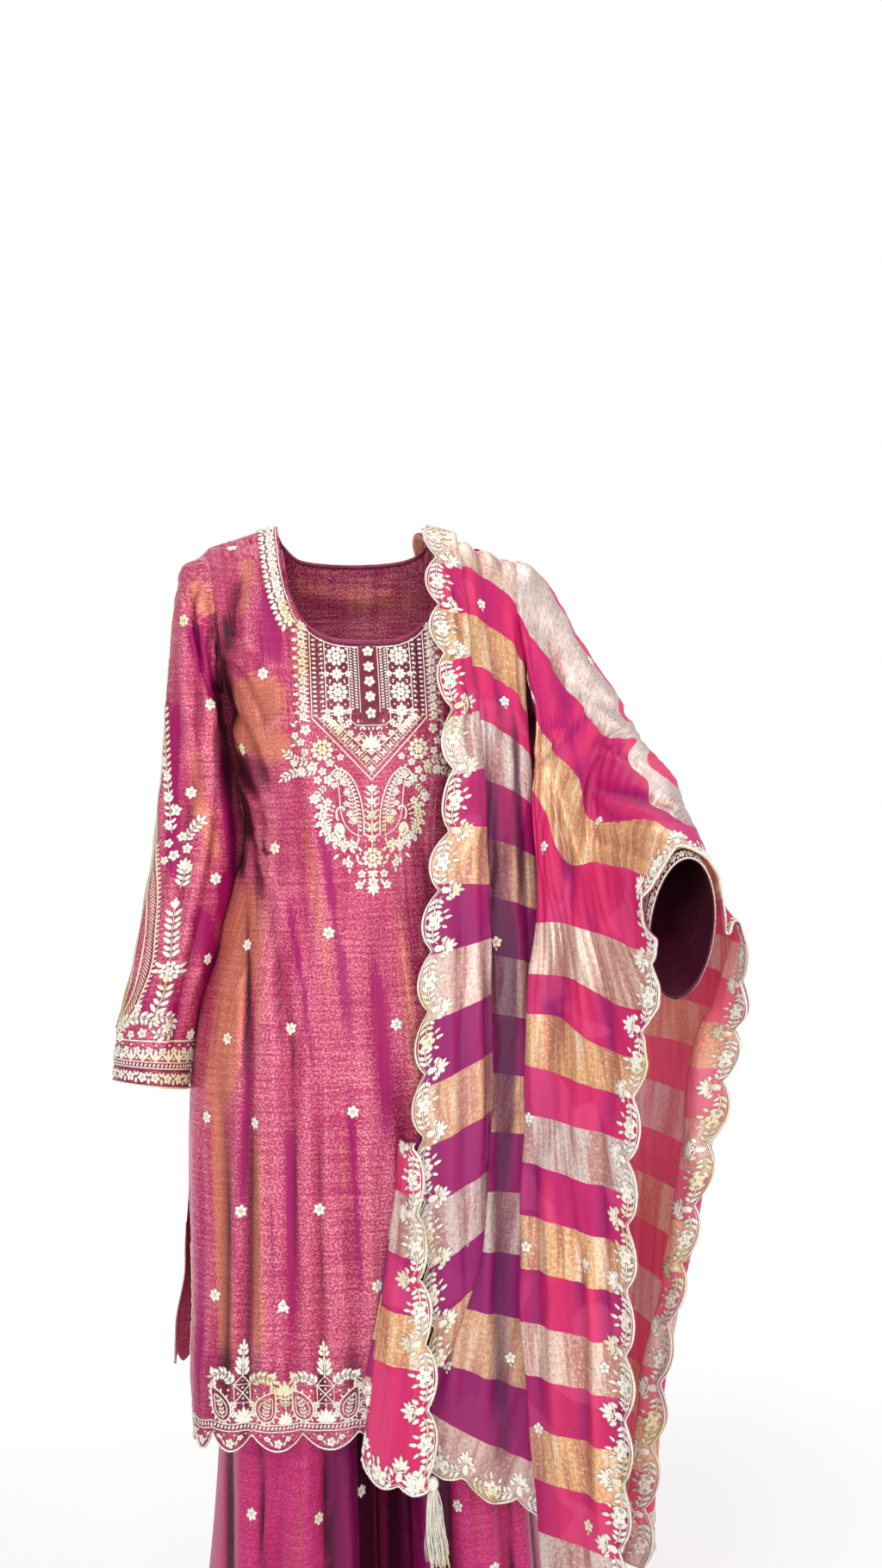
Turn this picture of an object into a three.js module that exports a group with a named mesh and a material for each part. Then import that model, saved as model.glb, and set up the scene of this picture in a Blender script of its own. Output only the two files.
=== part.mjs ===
// A sharara suit as it is worn: kameez, sharara and dupatta, each piece a thin wall of cloth.
// Millimetres, +Z up, the front of the suit faces -Y and its right sleeve lies at -X.
// The origin is the middle of the neck at shoulder height, where the wearer carries the suit.
import * as THREE from 'three';

// Driving dimensions.
const CLOTH = 1.5;             // wall of the kameez and the sharara
const VEIL = 1.2;              // wall of the dupatta
const SEAM = 0.3;              // gap between two pieces where they are sewn
const HEM = -985;              // hem of the kameez
const NECK = { half: 88, front: 134, back: 28, top: -2, power: 3 };
const SHOULDER = { half: 168, slope: 0.34, rise: 0.15 };
const ARMHOLE = { middle: -105, high: 75, deep: 55, ease: 0.3 };
const SQUARE = 0.8;            // below 1 the torso's sections are squarer than an ellipse
const STEP = 1e-4;             // step of the slopes that give a wall its normals

// A table has named columns and a row for each section. read() gives a column's value between rows
// on a smooth curve that never overshoots them.
function table(names, rows) {
  return rows.map((row) => Object.fromEntries(names.map((name, k) => [name, row[k]])));
}

function slope(rows, key, by, k) {
  const rise = (a) => (rows[a + 1][key] - rows[a][key]) / (rows[a + 1][by] - rows[a][by]);
  if (k === 0) return rise(0);
  if (k === rows.length - 1) return rise(k - 1);
  const before = rise(k - 1);
  const after = rise(k);
  return before * after <= 0 ? 0 : (2 * before * after) / (before + after);
}

function read(rows, key, by, at) {
  const last = rows.length - 1;
  if (at <= rows[0][by]) return rows[0][key] + slope(rows, key, by, 0) * (at - rows[0][by]);
  if (at >= rows[last][by]) return rows[last][key] + slope(rows, key, by, last) * (at - rows[last][by]);
  const k = rows.findIndex((row) => row[by] > at) - 1;
  const gap = rows[k + 1][by] - rows[k][by];
  const t = (at - rows[k][by]) / gap;
  const ends = THREE.MathUtils.smoothstep(t, 0, 1);
  const lean = slope(rows, key, by, k) * t * (1 - t) * (1 - t);
  const land = slope(rows, key, by, k + 1) * t * t * (t - 1);
  return rows[k][key] + (rows[k + 1][key] - rows[k][key]) * ends + gap * (lean + land);
}

const clamp = (value, low, high) => Math.min(high, Math.max(low, value));
const mix = (a, b, t) => a + (b - a) * t;
const even = (count) => Array.from({ length: count + 1 }, (_, k) => k / count);

// A wall of cloth: surface(u, v) is its outer face, and the inner face lies `thick` behind it. A wall that
// goes all round is closed across u. `side` is 1 or -1: which way the outer face looks. `keep` moves a point
// of the inner face that would cross the plane of a seam.
function wall(surface, us, vs, thick, side = 1, round = false, keep = () => {}) {
  const across = round ? us.slice(0, -1) : us;
  const outer = [];
  const inner = [];
  for (const v of vs) {
    for (const u of across) {
      const along = surface(u + STEP, v).sub(surface(u - STEP, v));
      const up = surface(u, v + STEP).sub(surface(u, v - STEP));
      const normal = along.cross(up).normalize().multiplyScalar(side);
      const point = surface(u, v);
      outer.push(point);
      const behind = point.clone().addScaledVector(normal, -thick);
      keep(behind, v);
      inner.push(behind);
    }
  }
  const wide = across.length;
  const count = outer.length;
  const index = [];
  const quad = (a, b, c, d) => index.push(a, b, c, a, c, d);
  const columns = round ? wide : wide - 1;
  for (let j = 0; j < vs.length - 1; j += 1) {
    for (let i = 0; i < columns; i += 1) {
      const a = j * wide + i;
      const b = j * wide + ((i + 1) % wide);
      quad(a, b, b + wide, a + wide);
      quad(count + a, count + a + wide, count + b + wide, count + b);
    }
    if (!round) {
      const left = j * wide;
      const right = left + wide - 1;
      quad(left, left + wide, count + left + wide, count + left);
      quad(right, count + right, count + right + wide, right + wide);
    }
  }
  const top = (vs.length - 1) * wide;
  for (let i = 0; i < columns; i += 1) {
    const next = (i + 1) % wide;
    quad(i, count + i, count + next, next);
    quad(top + i, top + next, count + top + next, count + top + i);
  }
  return solid([...outer, ...inner], index);
}

// A front (-1) or back (1) panel stays on its own side of the plane of its seams.
const ownSide = (face) => (point) => {
  point.y = face * Math.max(face * point.y, SEAM / 2);
};

// A closed body from its points and triangles, turned so that its faces point out.
function solid(points, index) {
  let volume = 0;
  for (let k = 0; k < index.length; k += 3) {
    const [a, b, c] = [points[index[k]], points[index[k + 1]], points[index[k + 2]]];
    volume += a.dot(b.clone().cross(c));
  }
  if (volume < 0) index.reverse();
  const geometry = new THREE.BufferGeometry();
  const flat = points.flatMap((p) => [p.x, p.y, p.z]);
  geometry.setAttribute('position', new THREE.Float32BufferAttribute(flat, 3));
  geometry.setIndex(index);
  geometry.computeVertexNormals();
  return geometry;
}

const suit = new THREE.Group();
const DYES = { tissue: 0xb4376b, sharara: 0x9c2463, veil: 0xc4527a, binding: 0x7a1448, thread: 0xe9dfc4 };

function piece(name, geometry, dye) {
  const sheen = dye === 'thread' ? 0.1 : 0.35;
  const material = new THREE.MeshStandardMaterial({ color: DYES[dye], roughness: 0.55, metalness: sheen });
  const mesh = new THREE.Mesh(geometry, material);
  mesh.name = name;
  suit.add(mesh);
}

// ---- Kameez ----------------------------------------------------------------------------------
// half: half its width; part: how far the side slit has opened there.
const SIDES = table(['z', 'half', 'part'], [
  [-985, 205, 100], [-900, 205, 68], [-800, 205, 32], [-715, 203.5, 0], [-610, 199, 0], [-545, 190, 0],
  [-472, 165, 0], [-400, 143.5, 0], [-340, 134.5, 0], [-285, 139, 0], [-230, 147.5, 0], [-180, 153, 0],
  [-105, 160.5, 0], [-30, 168, 0],
]);
// How far the front and the back stand from the side plane at a height below the shoulder line.
const DEPTH = table(['z', 'front', 'back'], [
  [-985, 155, 130], [-800, 148, 126], [-610, 138, 122], [-545, 132, 116], [-472, 122, 101],
  [-400, 114, 84], [-340, 113, 76], [-285, 120, 79], [-230, 124, 86], [-180, 113, 91], [-150, 102, 88],
  [-110, 86, 80], [-75, 70, 69], [-45, 54, 55], [-25, 40, 42], [-12, 28, 29], [-4, 16, 17], [0, 0, 0],
]);
const SLIT_SPREAD = 0.13;      // sideways spread of the slit's edges for each millimetre that it opens
const FOLD = { front: 5, count: 5, from: -420 };

function shoulderLine(x) {
  const out = Math.abs(x) - NECK.half;
  return NECK.top - (out > 0 ? SHOULDER.slope * out : SHOULDER.rise * out);
}

function necklineAt(x, deep) {
  const across = clamp(Math.abs(x) / NECK.half, 0, 1);
  return NECK.top - deep * (1 - across ** NECK.power) ** (1 / NECK.power);
}

function armholeDepth(z) {
  const high = (z - ARMHOLE.middle) / ARMHOLE.high;
  return Math.abs(high) < 1 ? ARMHOLE.deep * Math.sqrt(1 - high * high) : 0;
}

function halfWidth(z) {
  return read(SIDES, 'half', 'z', Math.min(z, -30));
}

// face is -1 for the front and 1 for the back; turn runs from -90 to 90 degrees across it.
function torso(face, turn, z, out = 0) {
  const part = Math.max(0, read(SIDES, 'part', 'z', Math.min(z, -30)));
  const half = halfWidth(z) + face * SLIT_SPREAD * part + out;
  const x = half * Math.sin(turn);
  const near = clamp((z + 220) / 150, 0, 1);
  const below = Math.min(0, z - shoulderLine(x) * near);
  const deep = read(DEPTH, face < 0 ? 'front' : 'back', 'z', below) + out;
  const edge = armholeDepth(z) + part;
  const across = Math.sign(Math.cos(turn)) * Math.abs(Math.cos(turn)) ** SQUARE;
  const low = clamp((FOLD.from - z) / 500, 0, 1);
  const wave = FOLD.front * low * Math.cos(turn * FOLD.count * 2) * Math.cos(turn) ** 2;
  return new THREE.Vector3(x, face * (SEAM / 2 + edge + (deep - edge) * across + wave), z);
}

function panelTop(face, turn) {
  const deep = face < 0 ? NECK.front : NECK.back;
  const rim = (x) => (Math.abs(x) < NECK.half ? necklineAt(x, deep) : shoulderLine(x));
  let low = -300;
  let high = 40;
  for (let k = 0; k < 40; k += 1) {
    const z = (low + high) / 2;
    if (z < rim(halfWidth(z) * Math.sin(turn))) low = z;
    else high = z;
  }
  return low;
}

function kameezPanel(face) {
  return (u, v) => {
    const turn = mix(-Math.PI / 2, Math.PI / 2, u);
    return torso(face, turn, mix(HEM, panelTop(face, clamp(turn, -Math.PI / 2, Math.PI / 2)), v));
  };
}

// Columns meet the two ends of the neckline, and rows are closer where the shoulders curve over.
const neckTurn = Math.asin(NECK.half / SHOULDER.half) / Math.PI;
const half = [0.5, 0.45, 0.38, 0.335, neckTurn + 0.006, neckTurn - 0.006, 0.12, 0.05, 0];
const columns = [...half.map((h) => 0.5 - h), ...half.slice(0, -1).reverse().map((h) => 0.5 + h)];
const rows = [0, 0.09, 0.18, 0.27, 0.36, 0.44, 0.52, 0.585, 0.65, 0.71, 0.77, 0.81, 0.843, 0.885, 0.925,
  0.95, 0.97, 0.985, 0.995, 1];
piece('kameez_front', wall(kameezPanel(-1), columns, rows, CLOTH, 1, false, ownSide(-1)), 'tissue');
piece('kameez_back', wall(kameezPanel(1), columns, rows, CLOTH, -1, false, ownSide(1)), 'tissue');

// ---- Sleeves ---------------------------------------------------------------------------------
// Each row is a ring: a point on the under side, one on the outer side, and half the ring's depth.
const RING = ['ix', 'iy', 'iz', 'ox', 'oy', 'oz', 'deep'];
const RIGHT_SLEEVE = table(RING, [
  [154, 0, -180, 168, 0, -30, 55], [159, 0, -186, 197, 0, -44, 57], [160, 0, -195, 208, 0, -90, 57],
  [158, 0, -235, 220, 0, -228, 52], [142, 0, -337, 232, 0, -335, 48], [170, -8, -474, 258, -10, -471, 44],
  [197, -18, -571, 280, -20, -567, 42], [204, -24, -624, 284, -26, -620, 40],
]);
const LEFT_SLEEVE = table(RING, [
  [154, 0, -180, 168, 0, -30, 55], [161, 0, -186, 198, 0, -44, 56], [176, -3, -200, 226, -4, -92, 54],
  [207, -15, -245, 266, -16, -170, 50], [246, -40, -322, 304, -34, -240, 46],
  [272, -75, -365, 308, -85, -274, 42], [276, -140, -405, 306, -150, -300, 38],
  [277, -220, -452, 300, -225, -332, 35], [276, -288, -510, 294, -292, -372, 33],
]);

function ringSleeve(rings, hand) {
  const numbered = rings.map((row, k) => ({ ...row, t: k / (rings.length - 1) }));
  const get = (key, t) => read(numbered, key, 't', clamp(t, 0, 1));
  const end = (side, t) => {
    const [x, y, z] = ['x', 'y', 'z'].map((axis) => get(side + axis, t));
    return new THREE.Vector3(hand * x, y, z);
  };
  return (turn, t, out = 0) => {
    const middle = end('i', t).add(end('o', t)).multiplyScalar(0.5);
    const ahead = end('i', t + 0.01).add(end('o', t + 0.01)).multiplyScalar(0.5);
    const back = end('i', t - 0.01).add(end('o', t - 0.01)).multiplyScalar(0.5);
    const tangent = ahead.sub(back);
    const high = end('o', t).sub(end('i', t)).multiplyScalar(0.5);
    const wide = high.clone().cross(tangent).normalize().multiplyScalar(get('deep', t) + out);
    high.setLength(high.length() + out);
    const point = middle.addScaledVector(high, Math.cos(turn)).addScaledVector(wide, Math.sin(turn));
    const seat = clamp(1 - t * (rings.length - 1), 0, 1);
    const rim = hand * (halfWidth(clamp(point.z, -180, -30)) + SEAM + ARMHOLE.ease + out);
    point.x = mix(point.x, rim, seat);
    return point;
  };
}

// The sleeve's first ring stays outside the armhole that it is sewn to.
const outsideArmhole = (hand) => (point, v) => {
  if (v > 0) return;
  const rim = halfWidth(clamp(point.z, -180, -30)) + SEAM + ARMHOLE.ease;
  point.x = hand * Math.max(hand * point.x, rim);
};

const sleeves = { right: ringSleeve(RIGHT_SLEEVE, -1), left: ringSleeve(LEFT_SLEEVE, 1) };
const sleeveRows = { right: 12, left: 14 };
for (const [name, sleeve] of Object.entries(sleeves)) {
  const surface = (u, v) => sleeve(u * 2 * Math.PI, v);
  const hand = name === 'left' ? 1 : -1;
  const body = wall(surface, even(12), even(sleeveRows[name]), CLOTH, -hand, true, outsideArmhole(hand));
  piece(`sleeve_${name}`, body, 'tissue');
}

// ---- Neck binding, placket strip and buttons ------------------------------------------------------
const BINDING = { wide: 5, thick: 1.2, ease: 0.6 };
for (const [name, face, deep] of [['front', -1, NECK.front], ['back', 1, NECK.back]]) {
  const reach = NECK.half - 3;
  const surface = (u, v) => {
    const angle = mix(-1, 1, u) * Math.PI / 2;
    const x = reach * Math.sin(angle);
    const z = necklineAt(x, deep) - 0.5 - BINDING.wide * (1 - v);
    const turn = Math.asin(clamp(x / halfWidth(z), -1, 1));
    return torso(face, turn, z, SEAM + BINDING.thick + BINDING.ease);
  };
  const side = face < 0 ? 1 : -1;
  const along = even(14).map((u) => mix(0.04, 0.96, u));
  piece(`neck_binding_${name}`, wall(surface, along, [0, 1], BINDING.thick, side), 'binding');
}

const PLACKET = { half: 9.5, top: -142, foot: -227, thick: 1.2, ease: 0.6, buttons: 5, button: 6, rise: 3 };
const onFront = (x, z, out) => torso(-1, Math.asin(x / halfWidth(z)), z, out);
const placket = (u, v) => onFront(mix(-PLACKET.half, PLACKET.half, u), mix(PLACKET.foot, PLACKET.top, v),
  SEAM + PLACKET.thick + PLACKET.ease - 0.2);
piece('placket_strip', wall(placket, even(2), even(5), PLACKET.thick), 'binding');

for (let k = 0; k < PLACKET.buttons; k += 1) {
  const z = mix(PLACKET.top - 7, PLACKET.foot + 10, k / (PLACKET.buttons - 1));
  const proud = 2 * SEAM + PLACKET.thick + PLACKET.ease;
  const seat = onFront(0, z, proud);
  const above = onFront(0, z + 1, proud);
  const r = PLACKET.button;
  const outline = [[0, 0], [r, 0], [r, 1], [r * 0.6, PLACKET.rise * 0.8], [0, PLACKET.rise]];
  const shape = outline.map(([x, y]) => new THREE.Vector2(x, y));
  const button = new THREE.LatheGeometry(shape, 10);
  button.deleteAttribute('uv');
  button.deleteAttribute('normal');
  const tilt = Math.atan2(above.y - seat.y, above.z - seat.z);
  button.rotateX(Math.PI - tilt);
  button.translate(seat.x, seat.y, seat.z);
  piece(`placket_button_${k + 1}`, lathed(button), 'thread');
}

// A lathed body with its shared points merged, so that it is one closed solid.
function lathed(geometry) {
  const position = geometry.getAttribute('position');
  const found = new Map();
  const points = [];
  const renumber = [];
  for (let k = 0; k < position.count; k += 1) {
    const point = new THREE.Vector3().fromBufferAttribute(position, k);
    const key = point.toArray().map((c) => Math.round(c * 1000)).join(' ');
    if (!found.has(key)) {
      found.set(key, points.length);
      points.push(point);
    }
    renumber.push(found.get(key));
  }
  const index = [];
  const source = geometry.getIndex().array;
  for (let k = 0; k < source.length; k += 3) {
    const [a, b, c] = [renumber[source[k]], renumber[source[k + 1]], renumber[source[k + 2]]];
    if (a !== b && b !== c && c !== a) index.push(a, b, c);
  }
  return solid(points, index);
}

// ---- Sharara ---------------------------------------------------------------------------------
// outer: half its width; split: how far the two legs have become rings of their own.
const LEGS = table(['z', 'outer', 'split', 'front', 'back', 'pleat'], [
  [-1460, 246, 1, 186, 172, 15], [-1330, 218, 1, 170, 154, 13], [-1190, 192, 1, 152, 132, 10],
  [-1040, 177, 1, 134, 112, 6], [-985, 174, 1, 128, 106, 4], [-860, 175, 1, 119, 100, 2],
  [-760, 178, 0.97, 113, 95, 1], [-700, 179, 0.75, 113, 95, 0], [-640, 181, 0.4, 116, 98, 0],
  [-580, 179, 0.12, 119, 101, 0], [-520, 168, 0, 118, 99, 0], [-470, 157, 0, 115, 93.7, 0],
]);
const LEG = { hem: -1460, top: -470, apart: 3, pleats: 4.5, overlap: 4 };

function legSection(hand, face) {
  return (u, v) => {
    const z = mix(LEG.hem, LEG.top, v);
    const outer = read(LEGS, 'outer', 'z', z);
    const split = clamp(read(LEGS, 'split', 'z', z), 0, 1);
    const gap = SEAM / 2 + LEG.apart * split;
    const middle = (split * (outer + gap)) / 2;
    const reach = outer - middle;
    const last = Math.acos(clamp((gap - middle) / reach, -1, 1));
    const turn = u * last;
    const deep = read(LEGS, face < 0 ? 'front' : 'back', 'z', z);
    const pleat = read(LEGS, 'pleat', 'z', z) * Math.sin(turn * 2 * LEG.pleats) * Math.sin(turn) ** 2;
    return new THREE.Vector3(
      hand * (middle + (reach + pleat * 0.3) * Math.cos(turn)),
      face * (SEAM / 2 + (deep + pleat) * Math.sin(turn)),
      z,
    );
  };
}

const legRows = [0, 0.14, 0.28, 0.42, 0.54, 0.64, 0.73, 0.8, 0.86, 0.93, 1];
for (const [handName, hand] of [['right', -1], ['left', 1]]) {
  for (const [faceName, face] of [['front', -1], ['back', 1]]) {
    const body = wall(legSection(hand, face), even(10), legRows, CLOTH, -hand * face, false, ownSide(face));
    piece(`sharara_${handName}_${faceName}`, body, 'sharara');
  }
}

// The waistband stands on the legs' upper edge, with a seam gap.
const BAND = { foot: -470 + SEAM, top: -430, half: 157, taper: 0.22 };
for (const [name, face, deep] of [['front', -1, 115], ['back', 1, 93.7]]) {
  const surface = (u, v) => {
    const turn = mix(-Math.PI / 2, Math.PI / 2, u);
    const z = mix(BAND.foot, BAND.top, v);
    const inward = (z - BAND.foot) * BAND.taper;
    return new THREE.Vector3(
      (BAND.half - inward) * Math.sin(turn),
      face * (SEAM / 2 + (deep - inward * 0.6) * Math.cos(turn)),
      z,
    );
  };
  const band = wall(surface, even(16), even(2), CLOTH, -face, false, ownSide(face));
  piece(`sharara_waistband_${name}`, band, 'sharara');
}

// ---- Dupatta ---------------------------------------------------------------------------------
// A stretch of the veil lies on three lines that run down it: left, middle and right.
const LINES = ['lx', 'ly', 'lz', 'mx', 'my', 'mz', 'rx', 'ry', 'rz'];

function stretch(rowsOfLines, folds = { deep: 0, count: 0 }) {
  const numbered = rowsOfLines.map((row, k) => ({ ...row, t: k / (rowsOfLines.length - 1) }));
  const get = (line, t) => new THREE.Vector3(...['x', 'y', 'z'].map((c) => read(numbered, line + c, 't', t)));
  return (u, v) => {
    const left = get('l', v).multiplyScalar((1 - u) * (1 - 2 * u));
    const middle = get('m', v).multiplyScalar(4 * u * (1 - u));
    const right = get('r', v).multiplyScalar(u * (2 * u - 1));
    const point = left.add(middle).add(right);
    const wave = folds.deep * clamp(v, 0, 1) * Math.sin(clamp(u, 0, 1) * Math.PI * 2 * folds.count);
    point.y -= wave;
    return point;
  };
}

const SHOULDER_PLEAT = table(LINES, [
  [80, 0, 4, 96, 0, 1, 112, 0, -4], [79, -26, 3, 95, -26, 1, 112, -26, -4],
  [77, -48, -14, 95, -48, -17, 112, -49, -22], [75, -67, -45, 94, -67, -48, 112, -68, -53],
  [72, -92, -92, 92, -92, -95, 111, -91, -99], [73, -122, -153, 92, -122, -150, 111, -119, -145],
  [78, -137, -219, 97, -137, -212, 115, -133, -206], [78, -139, -300, 100, -140, -295, 121, -135, -290],
  [62, -141, -376, 92, -143, -376, 121, -139, -378], [48, -150, -466, 85, -153, -456, 121, -147, -446],
  [40, -160, -555, 80, -163, -538, 118, -156, -520], [33, -168, -642, 75, -171, -620, 117, -164, -597],
  [32, -175, -729, 72, -178, -712, 110, -170, -692], [36, -180, -820, 68, -183, -800, 100, -176, -778],
  [42, -183, -900, 52, -184, -897, 61, -180, -893],
]);
const TURNED_FLAP = table(LINES, [
  [16, -157, -664, 25, -181, -662, 34, -187, -660], [8, -158.8, -739, 21, -190, -737, 34, -192, -735],
  [-5, -163.9, -820, 16, -195, -818, 37, -197, -816], [-18, -166.6, -900, 13, -198, -900, 42, -200, -900],
  [-31, -169.3, -990, 5, -200, -998, 40, -200, -1000],
]);
const INNER_LAYER = table(LINES, [
  [96, 0, -2.4, 148, 0, -19.6, 192, 0, -36], [96, -22, -5, 147, -22, -24, 192, -22, -44],
  [96, -41, -21, 148, -41, -38, 192, -42, -64], [95, -58, -49, 147, -58, -64, 188, -60, -100],
  [95, -82, -99, 146, -76, -110, 183, -72, -146], [95, -108, -160, 143, -100, -165, 179, -84, -200],
  [95, -127, -230, 140, -124, -235, 180, -102, -262], [92, -129, -310, 138, -130, -315, 178, -113, -330],
  [86, -131, -400, 135, -134, -402, 179, -121, -410], [80, -140, -510, 132, -144, -512, 180, -131, -515],
  [54, -149, -620, 118, -153, -620, 177, -141, -620], [10, -157, -730, 100, -162, -730, 174, -150, -730],
  [-8, -163, -840, 84, -168, -842, 172, -158, -845], [-24, -166, -950, 74, -171, -960, 170, -163, -970],
  [-32, -168, -1012, 68, -173, -1066, 168, -167, -1062],
]);
const BACK_FALL = table(LINES, [
  [80, 1, 4, 140, 1, -16.5, 192, 1, -36], [79, 28, 4, 140, 28, -20, 192, 29, -46],
  [78, 52, -12, 140, 50, -37, 191, 50, -74], [76, 74, -48, 140, 66, -68, 189, 58, -112],
  [78, 92, -110, 144, 84, -128, 189, 63, -165], [80, 99, -190, 154, 92, -200, 226, 76, -240],
  [82, 92, -290, 166, 98, -300, 254, 85, -330], [84, 98, -400, 168, 106, -405, 257, 93, -420],
  [85, 118, -500, 168, 122, -500, 253, 99, -510], [85, 134, -610, 166, 138, -610, 246, 107, -615],
  [85, 139, -760, 164, 148, -760, 240, 121, -765], [85, 142, -920, 162, 152, -920, 234, 132, -925],
  [85, 145, -1110, 160, 156, -1110, 228, 141, -1110],
]);
// Turns and ends of the cover on the sleeve, how far it stands off, and how far round the falls still bend.
const COVER = { from: 0.09, to: 1.005, front: -1.05, back: 1.3, clear: 9, bend: 0.5 };

piece('dupatta_shoulder_pleat', wall(stretch(SHOULDER_PLEAT), even(4), even(16), VEIL, -1), 'veil');
piece('dupatta_turned_flap', wall(stretch(TURNED_FLAP), even(3), even(7), VEIL, -1), 'veil');
piece('dupatta_inner_layer', wall(stretch(INNER_LAYER), even(5), even(16), VEIL, -1), 'veil');
piece('dupatta_back_fall', wall(stretch(BACK_FALL), even(7), even(14), VEIL, 1), 'veil');

// The arm cover follows the left sleeve, a little clear of it, from its front to its back.
const cover = (u, v) => sleeves.left(
  mix(COVER.front, COVER.back, u),
  mix(COVER.from, COVER.to, v),
  COVER.clear,
);
piece('dupatta_arm_cover', wall(cover, even(9), even(12), VEIL, -1), 'veil');

// The falls hang from the cover's two edges: v runs along the cover's edge, then each fall goes down.
const FRONT_FALL = table(['t', 'lx', 'ly', 'lz', 'mx', 'my', 'mz', 'rx', 'ry', 'rz'], [
  [0.1, 190, -98, -200, 214, -170, -370, 252, -308, -445],
  [0.22, 176, -116, -300, 206, -200, -440, 254, -308, -490],
  [0.34, 172, -148, -410, 200, -224, -520, 240, -306, -560],
  [0.46, 157, -170, -520, 192, -232, -615, 231, -300, -650],
  [0.6, 142, -186, -680, 184, -230, -740, 228, -292, -770],
  [0.75, 134, -194, -830, 178, -232, -880, 226, -284, -900],
  [0.88, 142, -198, -985, 180, -236, -1010, 220, -281, -1020],
  [1, 153, -200, -1150, 182, -238, -1150, 211, -280, -1150],
]);
const OUTER_FALL = table(['t', 'lx', 'ly', 'lz', 'mx', 'my', 'mz', 'rx', 'ry', 'rz'], [
  [0.1, 338, -304, -430, 366, -90, -400, 268, 84, -270],
  [0.22, 344, -298, -520, 370, -85, -480, 266, 92, -350],
  [0.34, 338, -288, -600, 366, -82, -570, 262, 100, -450],
  [0.46, 316, -276, -680, 352, -100, -660, 252, 104, -560],
  [0.6, 296, -260, -780, 334, -96, -770, 246, 118, -700],
  [0.75, 272, -252, -890, 312, -92, -880, 240, 130, -850],
  [0.88, 258, -250, -1000, 296, -90, -1000, 236, 138, -990],
  [1, 249, -248, -1110, 286, -88, -1110, 232, 144, -1110],
]);

function fall(rowsOfLines, edgeTurn, from, to) {
  const first = rowsOfLines[0].t;
  const value = (column, t) => read(rowsOfLines, column, 't', t);
  const get = (line, t) => new THREE.Vector3(...['x', 'y', 'z'].map((axis) => value(line + axis, t)));
  const lower = (u, t) => get('l', t).multiplyScalar((1 - u) * (1 - 2 * u))
    .add(get('m', t).multiplyScalar(4 * u * (1 - u)))
    .add(get('r', t).multiplyScalar(u * (2 * u - 1)));
  const drop = (Math.sign(edgeTurn) * SEAM) / 40;
  return (u, v) => {
    const edge = sleeves.left(edgeTurn + drop, mix(from, to, u), COVER.clear);
    if (v >= first) return lower(u, v);
    const t = v / first;
    const past = edgeTurn + drop + Math.sign(edgeTurn) * COVER.bend;
    const bend = sleeves.left(past, mix(from, to, u), 2 * COVER.clear);
    const knee = lower(u, first);
    edge.multiplyScalar((1 - t) ** 2);
    return edge.addScaledVector(bend, 2 * t * (1 - t)).addScaledVector(knee, t * t);
  };
}

const fallRows = [0, 0.04, 0.1, 0.2, 0.3, 0.42, 0.56, 0.7, 0.85, 1];
const frontFall = fall(FRONT_FALL, COVER.front, COVER.from, COVER.to);
const outerFall = fall(OUTER_FALL, COVER.back, COVER.to, COVER.from);
piece('dupatta_front_fall', wall(frontFall, even(12), fallRows, VEIL, -1), 'veil');
piece('dupatta_outer_fall', wall(outerFall, even(12), fallRows, VEIL, -1), 'veil');

// The tassel hangs from the corner of the turned flap.
const TASSEL = { x: 38.5, y: -199.3, top: -1000, neck: 7, skirt: 13, long: 92 };
const tasselOutline = [
  [0, -TASSEL.long], [TASSEL.skirt, -TASSEL.long], [TASSEL.skirt * 0.8, -TASSEL.long / 2],
  [TASSEL.neck * 0.7, -16], [TASSEL.neck, -9], [TASSEL.neck * 0.8, -2], [0, 0],
];
const tassel = new THREE.LatheGeometry(tasselOutline.map(([x, y]) => new THREE.Vector2(x, y)), 10);
tassel.deleteAttribute('uv');
tassel.deleteAttribute('normal');
tassel.rotateX(Math.PI / 2);
tassel.translate(TASSEL.x, TASSEL.y, TASSEL.top - SEAM);
piece('dupatta_tassel', lathed(tassel), 'thread');

export default suit;
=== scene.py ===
"""A sharara suit as it is worn: kameez, sharara and striped dupatta, with corded embroidery.

Lengths are millimetres until a mesh is made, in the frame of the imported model: +Z up, the front faces -Y.
"""
from math import atan, cos, hypot, pi, radians, sin

import bpy
import numpy as np
from mathutils import Matrix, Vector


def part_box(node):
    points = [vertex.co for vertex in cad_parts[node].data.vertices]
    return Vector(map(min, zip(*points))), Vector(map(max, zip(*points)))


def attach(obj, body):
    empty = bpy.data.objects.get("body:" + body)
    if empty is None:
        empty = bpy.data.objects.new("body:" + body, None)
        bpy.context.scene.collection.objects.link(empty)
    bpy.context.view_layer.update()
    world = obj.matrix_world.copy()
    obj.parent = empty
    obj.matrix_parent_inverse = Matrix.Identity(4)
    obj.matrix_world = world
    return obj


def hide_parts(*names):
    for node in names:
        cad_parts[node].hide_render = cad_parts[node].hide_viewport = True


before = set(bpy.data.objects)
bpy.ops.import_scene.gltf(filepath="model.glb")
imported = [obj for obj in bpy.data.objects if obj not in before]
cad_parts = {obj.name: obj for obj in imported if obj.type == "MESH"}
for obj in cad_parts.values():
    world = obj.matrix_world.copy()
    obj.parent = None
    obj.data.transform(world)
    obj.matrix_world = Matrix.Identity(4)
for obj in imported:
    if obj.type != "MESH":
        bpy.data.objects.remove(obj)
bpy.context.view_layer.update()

MM = 0.001
SEAM = 0.3                     # gap between two sewn pieces
SHELL = 0.9                    # thickness of the kameez and sharara cloth
VEIL_SHELL = 0.6               # thickness of the dupatta cloth
BINDING_SHELL = 0.4            # thickness of the neck binding
HEM = -985.0
SHARARA_HEM = -1460.0
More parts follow.
